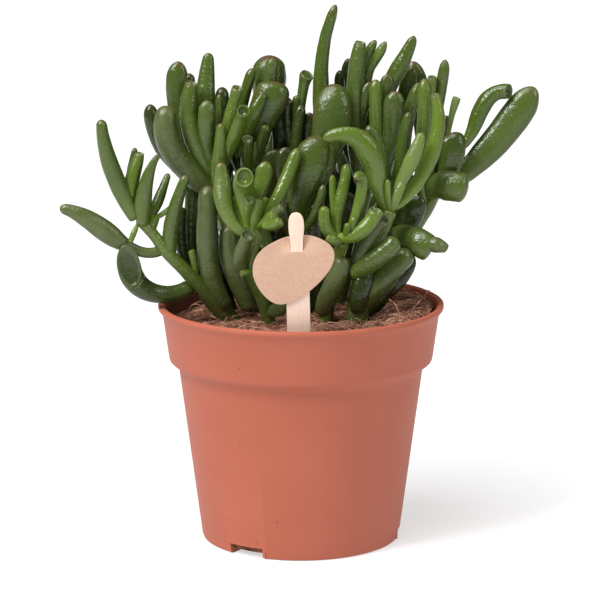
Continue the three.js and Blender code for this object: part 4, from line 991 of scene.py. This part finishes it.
# The card's outline is corners, each with the handles before and after it. It is pressed back beside
# the neck within one distance of its middle, and fades to flat at the other.
card = {
    "thickness": 0.8, "edge": 0.08, "gap": 0.3, "lean": 1.2, "pressed": (3.2, 13),
    "slotWidth": 5.3, "slotLow": 32.8, "slotHigh": 35.2,
    "outline": [
        ((-17.9, 24.5), (-17.9, 35), (-17.9, 19)), ((-7, 10.5), (-12.3, 10.5), (0.5, 10.5)),
        ((15, 30.2), (14.8, 22.5), (15.2, 35.6)), ((2.8, 38.5), (8.6, 38.5), (-6, 38.5)),
    ],
    "rows": [11 + 0.9 * k for k in range(38)], "columns": range(-14, 15),  # where it is cut, to bend
}
labelPlace = (
    Matrix.Scale(mm, 4)
    @ Matrix.Translation((label["x"], label["depth"], label["height"]))
    @ Matrix.Rotation(label["lean"], 4, "X")
    @ Matrix.Rotation(-label["turn"], 4, "Y")
)


def flatCurve(loops, thick, edge, name):  # filled closed curves with handles, made a mesh in x and z
    curve = bpy.data.curves.new(name, "CURVE")
    curve.dimensions = "2D"
    curve.fill_mode = "BOTH"
    curve.resolution_u = 24
    curve.extrude = thick / 2 - edge
    curve.bevel_depth = edge
    curve.bevel_resolution = 2
    curve.offset = -edge
    for loop in loops:
        spline = curve.splines.new("BEZIER")
        spline.bezier_points.add(len(loop) - 1)
        spline.use_cyclic_u = True
        for point, (at, before, after) in zip(spline.bezier_points, loop):
            point.handle_left_type = point.handle_right_type = "FREE"
            point.co, point.handle_left, point.handle_right = (*at, 0), (*before, 0), (*after, 0)
    form = bmesh.new()
    form.from_mesh(curveMesh(name, curve))
    upright = Matrix.Rotation(math.radians(90), 3, "X")
    bmesh.ops.rotate(form, verts=form.verts, cent=(0, 0, 0), matrix=upright)
    bmesh.ops.remove_doubles(form, verts=form.verts, dist=1e-4)
    bmesh.ops.recalc_face_normals(form, faces=form.faces)
    return form


def makeStick(spec):
    half, neck, head = spec["width"] / 2, spec["neck"] / 2, spec["head"] / 2
    low, shoulder, neckTop, top = -spec["below"], spec["shoulder"], spec["neckTop"], spec["top"]
    right = [
        ((half, low), (half, low), (half, low)),
        ((half, shoulder - 2), (half, shoulder - 2), (half, shoulder - 0.7)),
        ((neck, shoulder), (neck + 0.8, shoulder), (neck, shoulder)),
        ((neck, neckTop), (neck, neckTop), (neck, neckTop + 3)),
        ((head, neckTop + 7), (head, neckTop + 3), (head, top - 1)),
    ]
    left = [tuple((-x, z) for x, z in (at, after, before)) for at, before, after in reversed(right)]
    crown = [((0, top), (head * 0.55, top), (-head * 0.55, top))]
    form = flatCurve([right + crown + left], spec["thickness"], spec["edge"], "stickShape")
    bmesh.ops.transform(form, matrix=labelPlace, verts=form.verts)
    return meshFrom(form, "stick", 30)


def makeCard(spec):
    half, low, high = spec["slotWidth"] / 2, spec["slotLow"], spec["slotHigh"]
    slot = [((x, z), (x, z), (x, z)) for x, z in ((-half, low), (-half, high), (half, high), (half, low))]
    form = flatCurve([spec["outline"], slot], spec["thickness"], spec["edge"], "cardShape")
    cuts = [((0, 0, z), (0, 0, 1)) for z in spec["rows"]] + [((x, 0, 0), (1, 0, 0)) for x in spec["columns"]]
    for place, across in cuts:
        whole = form.verts[:] + form.edges[:] + form.faces[:]
        bmesh.ops.bisect_plane(form, geom=whole, plane_co=place, plane_no=across)
    front = -stick["thickness"] / 2 - spec["gap"] - spec["thickness"] / 2
    near, far = spec["pressed"]
    for corner in form.verts:  # leaning back a little, and behind the neck from the slot up
        lean = front + spec["lean"] * smooth(0, 45, corner.co.z)
        beside = abs(corner.co.x)
        band = 1.2 + 0.8 * max(beside - 3, 0)
        pressed = smooth(low - band, high + band, corner.co.z) * (1 - smooth(near, far, beside))
        corner.co.y += lean + (-front - lean) * pressed
    bmesh.ops.transform(form, matrix=labelPlace, verts=form.verts)
    return meshFrom(form, "card", 30)


# Birch veneer, sanded and unfinished: nearly white, with fine pale brown streaks up its length
birch = {"pale": "#EACFBD", "streak": "#DDBCA3", "grain": (0.5, 1, 14)}  # millimetres along x, y and z
# Uncoated recycled board: even beige, mottled by its pulp, with tiny darker flecks. Millimetres.
kraft = {
    "colour": "#C5A28B", "deep": "#BA937D", "fleck": "#936A50",
    "mottle": 0.9, "fleckSpacing": 1.1, "tooth": 0.4,
}


def makeStickMaterial(wood):
    material, tree, shader = newMaterial("sandedBirch", {"Roughness": 0.7})
    scale = tuple(1 / (size * mm) for size in wood["grain"])
    streaks = addNode(tree, "Mapping", {"Scale": scale}, {"Vector": objectPlace(tree)}).outputs[0]
    fineness = {"Scale": 1, "Detail": 4, "Roughness": 0.6}
    grain = addNode(tree, "TexNoise", fineness, {"Vector": streaks}).outputs["Fac"]
    body = mixed(tree, ranged(tree, grain, 0.42, 0.72, 0, 0.75), wood["pale"], wood["streak"])
    tree.links.new(body, shader.inputs["Base Color"])
    addBump(tree, shader, grain, 0.3, 0.1)
    return material


def makeCardMaterial(board):
    material, tree, shader = newMaterial("uncoatedKraftBoard", {"Roughness": 0.88})
    place = objectPlace(tree)
    mottle = ranged(tree, noiseOf(tree, place, board["mottle"], Detail=4), 0.35, 0.7, 0, 0.8)
    body = mixed(tree, mottle, board["colour"], board["deep"])
    flecks = ranged(tree, cellsOf(tree, place, board["fleckSpacing"]), 0.08, 0.2, 0.5, 0)
    tree.links.new(mixed(tree, flecks, body, board["fleck"]), shader.inputs["Base Color"])
    addBump(tree, shader, noiseOf(tree, place, board["tooth"], Detail=3), 0.25, 0.08)
    return material


addPiece("wooden_stick", makeStick(stick), makeStickMaterial(birch), "stick_wood", "stick")
addPiece("label_card", makeCard(card), makeCardMaterial(kraft), "kraft_card", "card")
print("stick and card made")


# A plain pale floor to stand on
floorForm = bmesh.new()
bmesh.ops.create_grid(floorForm, x_segments=1, y_segments=1, size=6)
paleFloor = addObject("pale_floor", meshFrom(floorForm, "paleFloor"))
# Opal acrylic of a light table: white, dull and glowing softly, so that a shadow on it stays faint
opal = {"colour": "#B4B4B4", "roughness": 0.9, "specular": 0.1, "glow": 0.58}
floorMaterial = newMaterial("opalLightTable", {
    "Base Color": fromHex(opal["colour"]), "Roughness": opal["roughness"],
    "Specular IOR Level": opal["specular"], "Emission Color": (1, 1, 1, 1), "Emission Strength": opal["glow"],
})[0]
paleFloor.data.materials.append(floorMaterial)
